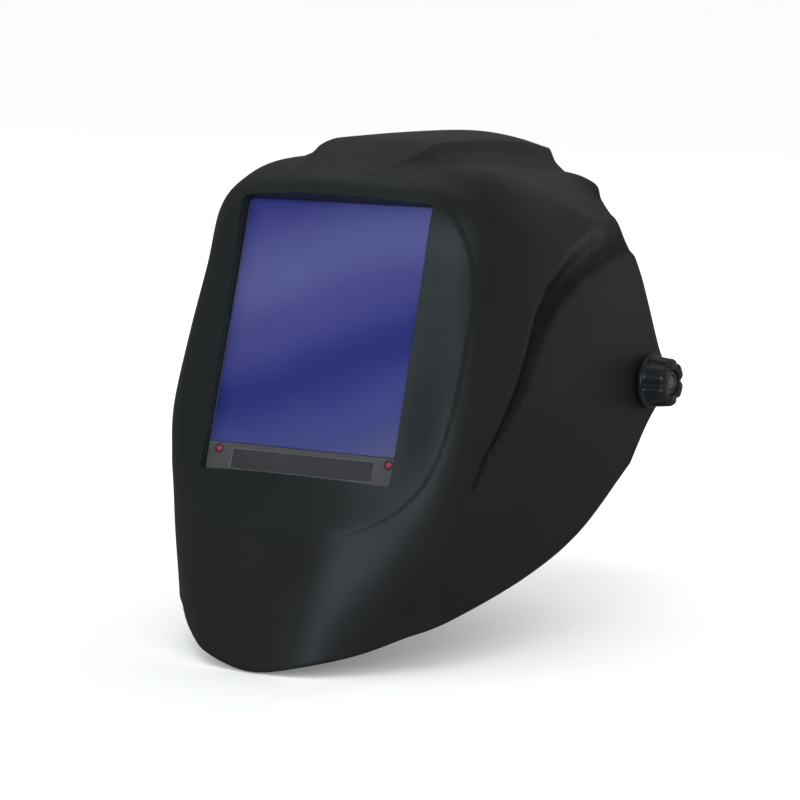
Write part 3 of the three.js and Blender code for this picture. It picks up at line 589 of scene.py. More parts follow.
# Sections of the outer face, right half, bottom rim to the crown's rear rim; each runs centre to side.
shellSections = [
    [(0, -237, -128), (30, -232, -123), (52, -215, -118), (70, -196, -110.5),
     (85, -175, -103.5), (99, -122, -89), (107, -76, -71), (111.5, -26, -41)],
    [(0, -229, -96), (32, -225, -94), (57, -211, -89), (77, -191, -82),
     (91, -168, -76), (102, -126, -66), (109, -75, -48), (114.2, -13, -22)],
    [(0, -217.5, -61), (33, -216, -60), (61, -203, -58), (82, -186, -54),
     (94, -165, -49), (103.5, -125, -41), (110, -74, -28), (114.6, -2.5, -13)],
    [(0, -206.5, -30), (33, -203, -31), (60, -194.5, -33), (83, -184.5, -33),
     (95, -166, -28), (103.5, -124, -20), (110, -72, -11), (114.5, 9, -7)],
    [(0, -196.5, 3), (33, -192.7, 2), (60, -184, -1), (86.5, -177.5, -5),
     (100, -155, -4), (106, -119.5, 1), (109.5, -70, 5), (114.2, 13, 4)],
    [(0, -184.5, 42), (33, -180.7, 41), (60, -172, 38), (87, -162, 34),
     (97.5, -141.5, 32), (104, -110, 29), (108, -66, 25), (111.8, 7, 19)],
    [(0, -173, 80), (33, -169.2, 79), (60, -160.4, 76), (84.5, -149, 70),
     (94.5, -129, 64), (101, -99, 56), (105.5, -60, 48), (107, 4, 42)],
    [(0, -163, 112), (32, -159.5, 110.5), (58, -151.5, 107), (80.5, -141, 101),
     (91.5, -122.5, 93), (98, -93, 82), (101.5, -55, 69), (102.5, 3, 59)],
    [(0, -150, 124), (30, -146, 122.5), (55.5, -138, 120), (74.5, -127.5, 115.5),
     (85.5, -110.5, 108), (91, -84, 98), (95.5, -50, 85), (97.3, 2, 73)],
    [(0, -122, 128.5), (26, -118, 127.5), (50.5, -113, 126.5), (67.5, -103, 122.5),
     (78, -90, 115), (84.5, -71, 106), (89.8, -44, 96), (91.8, 1, 83.5)],
    [(0, -65, 129.5), (25, -64, 128.5), (45, -60, 124.5), (59, -56, 119),
     (70, -50, 112.5), (78, -40, 106), (83.4, -26, 99), (87.4, 0.5, 90)],
    [(0, -8, 127), (25, -9, 124.5), (43, -8, 118), (56, -8, 113),
     (66, -7, 108.5), (74, -5, 103), (80, -3, 98), (84.8, 0, 92.5)],
    [(0, 30, 119), (25, 26, 117), (42, 19, 114), (54.5, 15, 112.5),
     (64, 11, 110.5), (71.5, 8, 107), (77, 3, 100.5), (82, 1, 95)],
]
# Temple flute in side view: y, z, half width, depth.
fluteLine = [
    (6, 79, 9, 1.2), (-20, 80, 9.5, 4.6), (-42, 78, 9.5, 6), (-73, 71, 9, 5.5), (-97, 58, 8, 5),
    (-111, 45, 6.5, 4.2), (-121, 31, 5, 3.4), (-134, 14, 4.4, 3), (-148, -2, 3.8, 2.6),
    (-160, -19, 2.8, 1.8), (-169, -35, 1.5, 0),
]
shellLook = {
    "wall": 2.6,
    "rowSteps": 22,       # outer cells for each section gap, halved inside
    "columnSteps": 20,
    "plateHalfWidth": 86.2,
    "plateMiddle": 31,
    "plateHalfHeight": 93,
    "plateStep": 0.8,
    "crownY": (-150, -135, -115, -80, -30, 34),
    "crownHalfWidth": (22, 31, 39, 41, 41, 39),
    "crownStart": (-158, -96),
    "crownRise": 8.6,
    "crownRearRise": 1.4,
    "rimRounds": 3,
}
windowLook = {"width": 118, "height": 149, "lean": 18, "middle": (0, -171.5, 37), "lensDepth": 3.4,
              "corner": 2}
shellAt = np.array([0, 10, -2.7])   # origin of the sections and the window from the tilt axis


def smooth(low, high, v):
    t = np.clip((v - low) / (high - low), 0, 1)
    return t * t * (3 - 2 * t)


def cubic(a, b, c, d, t):
    square, cube = 2 * a - 5 * b + 4 * c - d, 3 * b - a - 3 * c + d
    return 0.5 * (2 * b + (c - a) * t + square * t ** 2 + cube * t ** 3)


def netOf(sections):
    half = np.array(sections, float)
    left = half[:, :0:-1] * (-1, 1, 1)
    net = np.concatenate([left, half], 1)
    net = np.concatenate([2 * net[:1] - net[1:2], net, 2 * net[-1:] - net[-2:-1]], 0)
    return np.concatenate([2 * net[:, :1] - net[:, 1:2], net, 2 * net[:, -1:] - net[:, -2:-1]], 1)


shellNet = netOf(shellSections)
lastRow = shellNet.shape[0] - 3
lastColumn = shellNet.shape[1] - 3


def basePoints(u, v):
    iu = np.clip(np.floor(u), 0, lastRow - 1).astype(int)
    iv = np.clip(np.floor(v), 0, lastColumn - 1).astype(int)
    tu = (u - iu)[:, None]
    tv = (v - iv)[:, None]
    across = [cubic(*(shellNet[iu + a, iv + b] for a in range(4)), tu) for b in range(4)]
    return cubic(*across, tv)


def unit(v):
    return v / np.maximum(np.linalg.norm(v, axis=-1, keepdims=True), 1e-12)


def baseNormals(u, v):
    e = 0.02
    du = basePoints(np.minimum(u + e, lastRow), v) - basePoints(np.maximum(u - e, 0), v)
    dv = basePoints(u, np.minimum(v + e, lastColumn)) - basePoints(u, np.maximum(v - e, 0))
    return unit(np.cross(dv, du))


def plateMeasure(p):
    k = shellLook
    return (np.abs(p[:, 0] / k["plateHalfWidth"]) ** 3
            + np.abs((p[:, 2] - k["plateMiddle"]) / k["plateHalfHeight"]) ** 3) ** (1 / 3)


def fluteDepth(p):
    best = np.full(len(p), 1e9)
    depth = np.zeros(len(p))
    paintedArea = np.zeros(len(p))
    for (y0, z0, w0, h0), (y1, z1, w1, h1) in zip(fluteLine, fluteLine[1:]):
        ly, lz = y1 - y0, z1 - z0
        t = np.clip(((p[:, 1] - y0) * ly + (p[:, 2] - z0) * lz) / (ly * ly + lz * lz), 0, 1)
        dy = p[:, 1] - (y0 + ly * t)
        dz = p[:, 2] - (z0 + lz * t)
        d = np.hypot(dy, dz)
        q = -np.sign(ly * dz - lz * dy) * d / (w0 + (w1 - w0) * t)
        h = (h0 + (h1 - h0) * t) * smooth(-1.1, -0.55, q) * (1 - smooth(-0.3, 1.2, q))
        closer = d < best
        best[closer] = d[closer]
        depth[closer] = h[closer]
        # Painted shade: the flute's inside on the side panels, where its colour is darkened.
        paintedFluteShade = smooth(-1.12, -0.92, q) * (1 - smooth(0.7, 1.1, q)) * (np.abs(p[:, 0]) > 60)
        paintedArea[closer] = paintedFluteShade[closer]
    return depth, paintedArea


def outerPoints(u, v):
    k = shellLook
    p = basePoints(u, v)
    n = baseNormals(u, v)
    g = plateMeasure(p)
    front = 1 - smooth(-132, -104, p[:, 1])
    drop = k["plateStep"] * smooth(0.985, 1.0, g) * (1 - smooth(1.0, 1.3, g)) * front
    p = p - n * drop[:, None]
    side = (np.abs(p[:, 0]) > 60)[:, None]
    p = p - side * n * fluteDepth(p)[0][:, None]
    half = np.interp(p[:, 1], k["crownY"], k["crownHalfWidth"])
    rise = k["crownRise"] * smooth(*k["crownStart"], p[:, 1]) + k["crownRearRise"] * smooth(-80, 34, p[:, 1])
    off = np.abs(p[:, 0]) - half
    lift = rise * (1 - 0.6 * smooth(-6.5, -0.5, off) - 0.4 * np.clip((off + 1.5) / 8, 0, 1))
    p[:, 2] += np.where(p[:, 2] > 90, lift, 0)
    return p + shellAt


# Slides grid points onto the two lines of the face plate's crease, so that it runs clean across the cells.
def snapToCrease(u, v, du, dv):
    g = plateMeasure(basePoints(u, v))
    e = 0.01
    gu = (plateMeasure(basePoints(u + e, v)) - plateMeasure(basePoints(u - e, v))) / (2 * e) * du
    gv = (plateMeasure(basePoints(u, v + e)) - plateMeasure(basePoints(u, v - e))) / (2 * e) * dv
    steep = np.maximum(gu ** 2 + gv ** 2, 1e-12)
    near = (np.abs((g - 0.9925) / np.sqrt(steep)) < 0.72) & (basePoints(u, v)[:, 1] < -95)
    move = np.where(near, (np.where(g < 0.9925, 0.985, 1.0) - g) / steep, 0)
    move = np.clip(move * np.sqrt(steep), -0.9, 0.9) / np.sqrt(steep)
    return np.clip(u + move * gu * du, 0, lastRow), np.clip(v + move * gv * dv, 0, lastColumn)


def shellGrid():
    k = shellLook
    us = np.linspace(0, lastRow, lastRow * k["rowSteps"] + 1)
    vs = np.linspace(0, lastColumn, lastColumn * k["columnSteps"] + 1)
    u, v = (a.ravel().copy() for a in np.meshgrid(us, vs, indexing="ij"))
    shape = (len(us), len(vs))
    edge = np.zeros(shape, bool)
    edge[[0, -1], :] = edge[:, [0, -1]] = True
    su, sv = snapToCrease(u, v, us[1], vs[1])
    u = np.where(edge.ravel(), u, su)
    v = np.where(edge.ravel(), v, sv)
    return outerPoints(u, v).reshape(*shape, 3)


def gridNormals(p):
    up = np.empty_like(p)
    up[1:-1] = p[2:] - p[:-2]
    up[0], up[-1] = p[1] - p[0], p[-1] - p[-2]
    side = np.empty_like(p)
    side[:, 1:-1] = p[:, 2:] - p[:, :-2]
    side[:, 0], side[:, -1] = p[:, 1] - p[:, 0], p[:, -1] - p[:, -2]
    return unit(np.cross(side, up))


def gridQuads(n, m, first, flip):
    i, j = np.meshgrid(np.arange(n - 1), np.arange(m - 1), indexing="ij")
    a = (first + i * m + j).ravel()
    quads = np.stack([a, a + 1, a + m + 1, a + m], 1)
    return quads[:, ::-1] if flip else quads


def rimLoop(n, m):
    top = [(n - 1) * m + j for j in range(m - 1, 0, -1)]
    return ([j for j in range(m - 1)] + [i * m + m - 1 for i in range(n - 1)] + top
            + [i * m for i in range(n - 1, 0, -1)])


def shellSkin(outer, wall):
    n, m = outer.shape[:2]
    normals = gridNormals(outer)
    inner = (outer - wall * normals)[::2, ::2]
    ni, mi = inner.shape[:2]
    verts = [outer.reshape(-1, 3), inner.reshape(-1, 3)]
    faces = gridQuads(n, m, 0, False).tolist() + gridQuads(ni, mi, n * m, True).tolist()
    loop = np.array(rimLoop(n, m))
    innerLoop = np.array(rimLoop(ni, mi)) + n * m
    a = verts[0][loop]
    full = (verts[0] - wall * normals.reshape(-1, 3))[loop]
    full[1::2] = (full[0::2] + np.roll(full[0::2], -1, 0)) / 2
    run = unit(np.roll(a, -1, 0) - np.roll(a, 1, 0))
    out = unit(np.cross(run, normals.reshape(-1, 3)[loop]))
    mid, reach = (a + full) / 2, (a - full) / 2
    size = np.linalg.norm(reach, axis=1, keepdims=True)
    start = n * m + ni * mi
    rings = [loop]
    rounds = shellLook["rimRounds"]
    for k in range(1, rounds + 1):
        w = math.pi * k / (rounds + 1)
        verts.append(mid + reach * math.cos(w) + out * size * math.sin(w))
        rings.append(np.arange(start, start + len(loop)))
        start += len(loop)
    for one, two in zip(rings, rings[1:]):
        faces += np.stack([one, two, np.roll(two, -1), np.roll(one, -1)], 1).tolist()
    last = rings[-1]
    for k in range(len(innerLoop)):
        p, q, r = last[2 * k], last[2 * k + 1], last[(2 * k + 2) % len(last)]
        i0, i1 = innerLoop[k], innerLoop[(k + 1) % len(innerLoop)]
        faces += [[p, i0, q], [q, i0, i1], [q, i1, r]]
    return np.concatenate(verts), faces


lean = math.radians(windowLook["lean"])
windowUp = np.array([0, math.sin(lean), math.cos(lean)])
windowOut = np.array([0, -math.cos(lean), math.sin(lean)])
windowZero = shellAt + windowLook["middle"] - windowLook["lensDepth"] * windowOut


def inWindow(points):
    p = np.asarray(points, float)
    return windowZero + p[:, :1] * (1, 0, 0) + p[:, 1:2] * windowUp + p[:, 2:3] * windowOut


def roundedRect(w, h, r, x=0.0, y=0.0, arcSteps=6):
    points = []
    for cx, cy, start in ((w / 2 - r, h / 2 - r, 0), (r - w / 2, h / 2 - r, 90),
                          (r - w / 2, r - h / 2, 180), (w / 2 - r, r - h / 2, 270)):
        for k in range(arcSteps + 1):
            a = math.radians(start + 90 * k / arcSteps)
            points.append((x + cx + r * math.cos(a), y + cy + r * math.sin(a)))
    return points


# Rounded plate in the window frame between two stations, with softened front and back edges.
def windowSlab(w, h, r, back, front, x=0.0, u=0.0, soft=0.0):
    if not soft:
        stations = [(back, 0), (front, 0)]
    else:
        stations = [(back, soft), (back + soft * 0.3, soft * 0.3), (back + soft, 0),
                    (front - soft, 0), (front - soft * 0.3, soft * 0.3), (front, soft)]
    loops = []
    for n, inset in stations:
        ring = roundedRect(w - 2 * inset, h - 2 * inset, max(r - inset, 0.2), x, u)
        loops.append([(a, b, n) for a, b in ring])
    verts, faces = stackLoops(loops)
    return inWindow(verts), faces


def roomMesh(outer, depth):
    n, m = outer.shape[:2]
    points = (outer - depth * gridNormals(outer)).reshape(-1, 3)
    loop = rimLoop(n, m)
    faces = gridQuads(n, m, 0, False).tolist()
    faces += [[a, n * m, b] for a, b in zip(loop, loop[1:] + loop[:1])]
    return np.concatenate([points, [[0, -30, 20]]]), faces


# Round rod along an axis, centred on a and b in the other two.
def rodMesh(axis, start, end, r, a, b, sides=48):
    loops = []
    for s in (start, end):
        ring = []
        for k in range(sides):
            w = 2 * math.pi * k / sides
            c, d = a + r * math.cos(w), b + r * math.sin(w)
            ring.append({"x": (s, c, d), "y": (d, s, c), "z": (c, d, s)}[axis])
        loops.append(ring)
    return stackLoops(loops)


def makeShell():
    k, w = shellLook, windowLook
    outer = shellGrid()
    shell = newPiece("visorShell", *shellSkin(outer, k["wall"]), finishes["shellBlack"], None, None, 0)
    collar = loose("collar", *windowSlab(w["width"] + 5, w["height"] + 5, 4, 0.3, 24))
    carve(collar, loose("room", *roomMesh(outer[::2, ::2], k["wall"] / 2)), "INTERSECT")
    carve(shell, collar, "UNION")
    carve(shell, loose("opening", *windowSlab(w["width"], w["height"], w["corner"], -30, 40)))
    for side in (-1, 1):
        carve(shell, loose("boltHole", *rodMesh("x", side * 124 - 20, side * 124 + 20, 4.4, 0, 0)))
    mesh = shell.data
    mesh.polygons.foreach_set("material_index", np.zeros(len(mesh.polygons), np.int32))
    mesh.materials.clear()
    mesh.materials.append(finishes["shellBlack"])
    at = coordsOf(mesh) / mm - shellAt
    # Masks of painted light on the face plate and painted shade inside the temple flute.
    plate = (1 - smooth(0.985, 1.0, plateMeasure(at))) * (1 - smooth(-132, -104, at[:, 1]))
    for label, paintedArea in (("plateArea", plate), ("fluteArea", fluteDepth(at)[1])):
        mesh.attributes.new(label, "FLOAT", "POINT").data.foreach_set("value", paintedArea.astype(np.float32))
    mesh.shade_smooth()
    mesh.set_sharp_from_angle(angle=math.radians(32))
    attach(shell, "visor")
    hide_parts("helmet_shell")
    return shell


shellPiece = makeShell()
print("visor shell made,", len(shellPiece.data.polygons), "faces")


# Depths in the window stack run along its outward normal.
lcdPane = {"width": 118, "height": 133.2, "u": 8.1, "back": -6.5, "front": -2.6}
solarPane = {"width": 88, "height": 10.7, "u": -66.95, "back": -3.2, "front": -2.62}
sensorLook = {"x": 52.8, "u": -62.3, "r": 1.6, "back": -5.4, "base": -2.6, "top": -1.95}
controlRow = -59.5


def ringPlate(name, w, h, r, border, back, front, u, material, body, slot, x=0.0):
    outer = roundedRect(w, h, r, x, u)
    inner = roundedRect(w - 2 * border, h - 2 * border, max(r - border, 0.25), x, u)
    loops = [[(a, b, n) for a, b in ring] for ring, n in
             ((outer, back), (outer, front), (inner, front), (inner, back), (outer, back))]
    verts, faces = stackLoops(loops, False)
    return newPiece(name, inWindow(verts), faces, material, body, slot)


def makeWindow():
    p = lcdPane
    newPiece("lcdPane", *windowSlab(p["width"], p["height"], 1, p["back"], p["front"], 0, p["u"], 0.3),
             finishes["lcdViolet"], "visor", "lcd_glass", 35, ["lcd_glass"])
    s = solarPane
    newPiece("solarStrip", *windowSlab(s["width"], s["height"], 0.5, s["back"], s["front"], 0, s["u"], 0.08),
             finishes["solarDark"], "visor", "solar_glass", 35, ["solar_cell"])
    ringPlate("solarEdge", s["width"] + 0.4, s["height"] + 0.4, 0.7, 0.35, -2.62, -2.54, s["u"],
              finishes["solarTrim"], "visor", "solar_glass")
    for side, sign in (("Left", -1), ("Right", 1)):
        k = sensorLook
        loops = []
        rise = k["top"] - k["base"]
        for n, r in [(k["back"], k["r"]), (k["base"], k["r"])] + [
                (k["base"] + rise * math.sin(a), k["r"] * math.cos(a)) for a in (0.3, 0.6, 0.9, 1.2, 1.45)]:
            loops.append([(sign * k["x"] + r * math.cos(t), k["u"] + r * math.sin(t), n)
                          for t in np.linspace(0, 2 * math.pi, 32, endpoint=False)])
        verts, faces = stackLoops(loops)
        newPiece("sensorEye" + side, inWindow(verts), faces, finishes["sensorRed"], "visor", "sensor_red", 50,
                 ["sensor_l" if sign < 0 else "sensor_r"])
        ringPlate("sensorCollar" + side, 5.4, 5.4, 2.69, 0.75, -2.75, -2.36, k["u"], finishes["bezelShine"],
                  "visor", "bezel_plastic", sign * k["x"])


# Ticks, growing longer along the sweep, raised round a dial on the wearer's side.
def makeTicks(name, x, u, r, count, start, sweep, size):
    verts, faces = [], []
    for k in range(count):
        a = math.radians(start + sweep * k / (count - 1))
        grow = size * (1 + 0.5 * k / (count - 1))
        c, s = math.cos(a), math.sin(a)
        corner = [(r, -0.35), (r + grow, -0.35), (r + grow, 0.35), (r, 0.35)]
        for n in (-15.8, -16.3):
            verts += [(x + p * c - q * s, u + p * s + q * c, n) for p, q in corner]
        b = 8 * k
        faces += [(b, b + 1, b + 2, b + 3), (b + 7, b + 6, b + 5, b + 4)]
        faces += [(b + i, b + 4 + i, b + 4 + (i + 1) % 4, b + (i + 1) % 4) for i in range(4)]
    return newPiece(name, inWindow(verts), faces, finishes["markPale"], "visor", "cassette_plastic")


knobLook = {"face": 115.0, "length": 15.0, "flange": 15.25, "body": 14.1, "groove": 2.0, "grooves": 6,
            "grooveSharp": 4.5, "bore": 4.3, "recess": 7.0, "recessDepth": 4.2, "taper": 0.07, "steps": 144}


def makeKnob(side, sign):
    k = knobLook
    x0, length = k["face"], k["length"]

    def ring(x, r, grooved=0.0, petal=0.0):
        points = []
        for i in range(k["steps"]):
            a = 2 * math.pi * i / k["steps"]
            dip = ((1 + math.cos(k["grooves"] * a)) / 2) ** k["grooveSharp"]
            rr = r - grooved * k["groove"] * dip
            points.append((sign * (x0 + x - petal * dip), rr * math.cos(a), rr * math.sin(a)))
        return points

    wide = k["body"]
    deep = length - k["recessDepth"]
    outline = [(0.0, k["bore"]), (0.0, 14.6), (0.15, 15.05), (0.5, k["flange"]), (1.7, k["flange"]),
               (2.05, 15.1), (2.2, 14.8), (2.3, wide + 0.25, 0.7), (2.6, wide, 0.92)]
    for t in (0.12, 0.35, 0.65, 0.9, 1.0):
        outline.append((2.6 + (length - 4.9) * t, wide * (1 - k["taper"] * t), 1.0))
    outline += [(length - 1.5, wide * 0.905, 1.0, 0.2), (length - 0.8, wide * 0.872, 1.0, 0.5),
                (length - 0.3, wide * 0.825, 0.9, 0.8), (length - 0.05, wide * 0.77, 0.6, 1.0),
                (length, wide * 0.70, 0.25, 1.1), (length, k["recess"] + 1.2, 0, 1.0),
                (length - 0.1, k["recess"] + 0.5, 0, 0.9), (length - 0.5, k["recess"] + 0.1, 0, 0.8),
                (deep + 0.4, k["recess"]), (deep + 0.1, k["recess"] - 0.15), (deep, k["recess"] - 0.5),
                (deep, k["bore"] + 0.3), (deep - 0.3, k["bore"]), (0.0, k["bore"])]
    verts, faces = stackLoops([ring(*o) for o in outline], False)
    if sign > 0:
        faces = [f[::-1] for f in faces]
    node = "tension_knob_" + ("l" if sign < 0 else "r")
    newPiece("tensionKnob" + side, verts, faces, finishes["knobBlack"], "knob_" + node[-1], "knob_plastic",
             40, [node])


# Strip of even thickness along a path; given are the path, the way its height runs and its thickness.
def stripMesh(path, heightWay, low, high, thickness):
    path = np.array(path, float)
    heightWay = np.array(heightWay, float)
    run = unit(np.gradient(path, axis=0))
    out = unit(np.cross(run, heightWay)) * thickness / 2
    loops = []
    for p, o in zip(path, out):
        loops.append([p + o + heightWay * low, p + o + heightWay * high, p - o + heightWay * high,
                      p - o + heightWay * low])
    return stackLoops(loops)


def arcPath(cx, cy, rx, ry, start, end, count):
    return [(cx + rx * math.cos(math.radians(a)), cy + ry * math.sin(math.radians(a)))
            for a in np.linspace(start, end, count)]


def joined(meshes):
    verts, faces = [], []
    for v, f in meshes:
        faces += [tuple(i + len(verts) for i in face) for face in f]
        verts += [tuple(p) for p in v]
    return verts, faces


def turnedMesh(mesh, matrix):
    return [tuple(matrix @ Vector(p)) for p in mesh[0]], mesh[1]


# A pin along a direction through a point, used to punch round holes.
def punch(at, direction, r, reach=5.0, sides=20):
    d = Vector(direction).normalized()
    turn = d.to_track_quat("Z", "Y").to_matrix().to_4x4()
    return turnedMesh(rodMesh("z", -reach, reach, r, 0, 0, sides), Matrix.Translation(Vector(at)) @ turn)


def slotPunch(at, direction, along, length, r, reach=5.0):
    d = Vector(direction).normalized()
    a = (Vector(along) - d * Vector(along).dot(d)).normalized()
    b = d.cross(a)
    loops = []
    for s in (-reach, reach):
        ring = []
        for k in range(24):
            w = 2 * math.pi * (k + 0.5) / 24
            c = math.cos(w)
            shift = math.copysign(length / 2, c)
            ring.append(tuple(Vector(at) + d * s + a * (r * c + shift) + b * r * math.sin(w)))
        loops.append(ring)
    return stackLoops(loops)


bandLook = {"halfWidth": 76, "front": -88, "thickness": 1.8, "z": 40, "height": 24, "napeDrop": 34,
            "napeY": 111}
napeTurn = Matrix.Rotation(math.radians(-bandLook["napeDrop"]), 4, "X")
napeFrame = Matrix.Translation((0, 0, bandLook["z"])) @ napeTurn


def finishStrip(name, mesh, cutters, node, body="headgear", edge=0.35):
    ob = loose(name, *mesh)
    if cutters:
        carve(ob, loose(name + "Cuts", *joined(cutters)))
    ob.data.materials.clear()
    ob.data.materials.append(finishes["headgearBlack"])
    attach(ob, body)
    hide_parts(node)
    bevel(ob, edge, 2, 35)
    ob.data.shade_smooth()
    return ob


def makeHeadband():
    b = bandLook
    front = arcPath(0, -8, b["halfWidth"], -8 - b["front"], 180, 360, 97)
    ends = (22, 12, 2, -4)
    flat = [(-b["halfWidth"], y) for y in ends] + front + [(b["halfWidth"], y) for y in ends[::-1]]
    path = [(x, y, 0) for x, y in flat]
    mesh = stripMesh(path, (0, 0, 1), b["z"] - b["height"] / 2, b["z"] + b["height"] / 2, b["thickness"])
    cuts = []
    for s in (-1, 1):
        cuts.append(punch((s * b["halfWidth"], 0, b["z"]), (1, 0, 0), 2.5))
        for y in (10, 16):
            cuts.append(punch((s * b["halfWidth"], y, b["z"]), (1, 0, 0), 1.6))
    for a in np.linspace(205, 335, 14):
        w = math.radians(a)
        at = (b["halfWidth"] * math.cos(w), -8 + 80 * math.sin(w), b["z"])
        out = (math.cos(w) / b["halfWidth"], math.sin(w) / 80, 0)
        across = (-math.sin(w), math.cos(w), 0)
        for z in (-8.2, 8.2):
            cuts.append(slotPunch((at[0], at[1], b["z"] + z), out, across, 5.5, 1.0, 4))
    finishStrip("browBand", mesh, cuts, "headband")


def makeSideBand(side, sign):
    y = bandLook["napeY"]
    bend = arcPath(24, 50, 49.9, y - 50, 0, 90, 41)
    flat = [(73.9, -9), (73.9, 10), (73.9, 30)] + bend + [(23, y), (22, y)]
    path = [(sign * x, yy, 0) for x, yy in flat]
    if sign < 0:
        path = path[::-1]
    mesh = stripMesh(path, (0, 0, 1), -10, 10, bandLook["thickness"])
    cuts = [punch((sign * 73.9, 0, 0), (1, 0, 0), 2.5)]
    for a in np.linspace(14, 66, 5):
        w = math.radians(a)
        at = (sign * (24 + 49.9 * math.cos(w)), 50 + (y - 50) * math.sin(w), 0)
        out = (sign * math.cos(w) / 49.9, math.sin(w) / (y - 50), 0)
        cuts.append(slotPunch(at, out, (-sign * math.sin(w), math.cos(w), 0), 7.5, 2.2, 4))
    mesh = turnedMesh(mesh, napeFrame)
    cuts = [turnedMesh(c, napeFrame) for c in cuts]
    node = "side_band_" + ("l" if sign < 0 else "r")
    finishStrip("napeBand" + side, mesh, cuts, node)


def makeCrownStrap(name, node, halfWidth, foot, spring, top, y, width):
    arch = arcPath(0, spring, halfWidth, top - spring, 180, 0, 81)
    flat = [(-halfWidth, foot), (-halfWidth, (foot + spring) / 2)] + arch
    flat += [(halfWidth, (foot + spring) / 2), (halfWidth, foot)]
    path = [(x, 0, z) for x, z in flat][::-1]
    mesh = stripMesh(path, (0, 1, 0), y - width / 2, y + width / 2, 1.5)
    cuts = []
    for a in list(np.linspace(22, 64, 8)) + list(np.linspace(116, 158, 8)):
        w = math.radians(a)
        at = (halfWidth * math.cos(w), y, spring + (top - spring) * math.sin(w))
        out = (math.cos(w) / halfWidth, 0, math.sin(w) / (top - spring))
        cuts.append(punch(at, out, 1.7, 4))
    finishStrip(name, mesh, cuts, node)


padMake = {"voxel": 2.4, "cap": 1.5, "tight": 0.25, "pressure": 4.0, "shrink": 0.9, "fill": 0.7,
           "channelDepth": 0.55, "seamInset": 3.2, "frames": 20}
padShapes = {
    "browPad": {"node": "sweatband", "slot": "pad_fabric", "channels": 11, **padMake},
    "napePad": {"node": "rear_pad", "slot": "pad_fabric", "channels": 4, **padMake},
}


def normalsOf(mesh):
    n = np.empty(len(mesh.vertices) * 3, np.float32)
    mesh.vertex_normals.foreach_get("vector", n)
    return n.reshape(-1, 3).astype(float)


def settle(mesh, at):
    mesh.vertices.foreach_set("co", at.astype(np.float32).ravel())
    mesh.update()


# hardSide gives each point's way to the band behind; lengthOf and heightOf run along and across the pad.
def makePad(name, p, hardSide, lengthOf, heightOf):
    source = cadNodes[p["node"]]
    mesh = source.data.copy()
    mesh.name = name
    mesh.materials.clear()
    ob = bpy.data.objects.new(name, mesh)
    scene.collection.objects.link(ob)
    weld = ob.modifiers.new("weld", "WELD")
    weld.merge_threshold = weldReach
    remesh = ob.modifiers.new("even", "REMESH")
    remesh.mode = "VOXEL"
    remesh.voxel_size = p["voxel"] * mm
    bpy.context.view_layer.update()
    bake(ob)
    rest = coordsOf(ob.data)
    settle(ob.data, rest - normalsOf(ob.data) * p["shrink"] * mm * 0.5)
    small = coordsOf(ob.data)
    normals = normalsOf(ob.data)
    cloth = ob.modifiers.new("swell", "CLOTH")
    cloth.settings.quality = 5
    cloth.settings.mass = 0.2
    cloth.settings.use_pressure = True
    cloth.settings.uniform_pressure_force = p["pressure"]
    cloth.settings.effector_weights.gravity = 0
    cloth.settings.tension_stiffness = 20
    cloth.settings.bending_stiffness = 0.6
    cloth.collision_settings.use_collision = False
    cloth.point_cache.frame_start = 1
    cloth.point_cache.frame_end = p["frames"]
    for f in range(1, p["frames"] + 1):
        scene.frame_set(f)
    bake(ob)
    scene.frame_set(1)
    moved = coordsOf(ob.data) - small
    far = np.linalg.norm(moved, axis=1, keepdims=True)
    toBand = (normals * hardSide(rest)).sum(1, keepdims=True)
    limit = np.where(toBand > 0.3, p["tight"], p["cap"]) * mm
    small = small + moved * np.minimum(1, limit / np.maximum(far, 1e-9))
    settle(ob.data, small)
    sub = ob.modifiers.new("fine", "SUBSURF")
    sub.levels = sub.render_levels = 1
    bpy.context.view_layer.update()
    bake(ob)
    at = coordsOf(ob.data)
    n = normalsOf(ob.data)
    along, height = lengthOf(at / mm), heightOf(at / mm)
    half = height.max()
    seam = np.exp(-((np.abs(height) - (half - p["seamInset"])) / 0.8) ** 2)
    phase = (along - along.min()) / (along.max() - along.min()) * p["channels"]
    valley = np.exp(-(((phase + 0.5) % 1 - 0.5) * (along.max() - along.min()) / p["channels"] / 1.1) ** 2)
    valley = valley * (np.abs(height) < half - p["seamInset"])
    soft = (n * hardSide(at)).sum(1) < 0.2
    settle(ob.data, at - n * (np.maximum(seam, valley) * soft * p["channelDepth"] * mm)[:, None])
    ob.data.materials.append(finishes["padKnit"])
    ob.data.shade_smooth()
    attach(ob, "headgear")
    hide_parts(p["node"])
    print(name, "made,", len(ob.data.vertices), "points")
    return ob


def browWay(at):
    d = at - np.array([0, -0.008, 0])
    d[:, 2] = 0
    return unit(d)


napeBack = (napeFrame.to_3x3() @ Vector((0, 1, 0))).normalized()
napeUp = (napeFrame.to_3x3() @ Vector((0, 0, 1))).normalized()
napeHub = np.array(napeFrame.translation)


def makePads():
    makePad("browPad", padShapes["browPad"], browWay,
            lambda p: np.degrees(np.arctan2(p[:, 0], -(p[:, 1] + 8))) * 1.33, lambda p: p[:, 2] - 40)
    makePad("napePad", padShapes["napePad"], lambda p: np.tile(np.array(napeBack), (len(p), 1)),
            lambda p: p[:, 0], lambda p: (p - napeHub) @ np.array(napeUp))


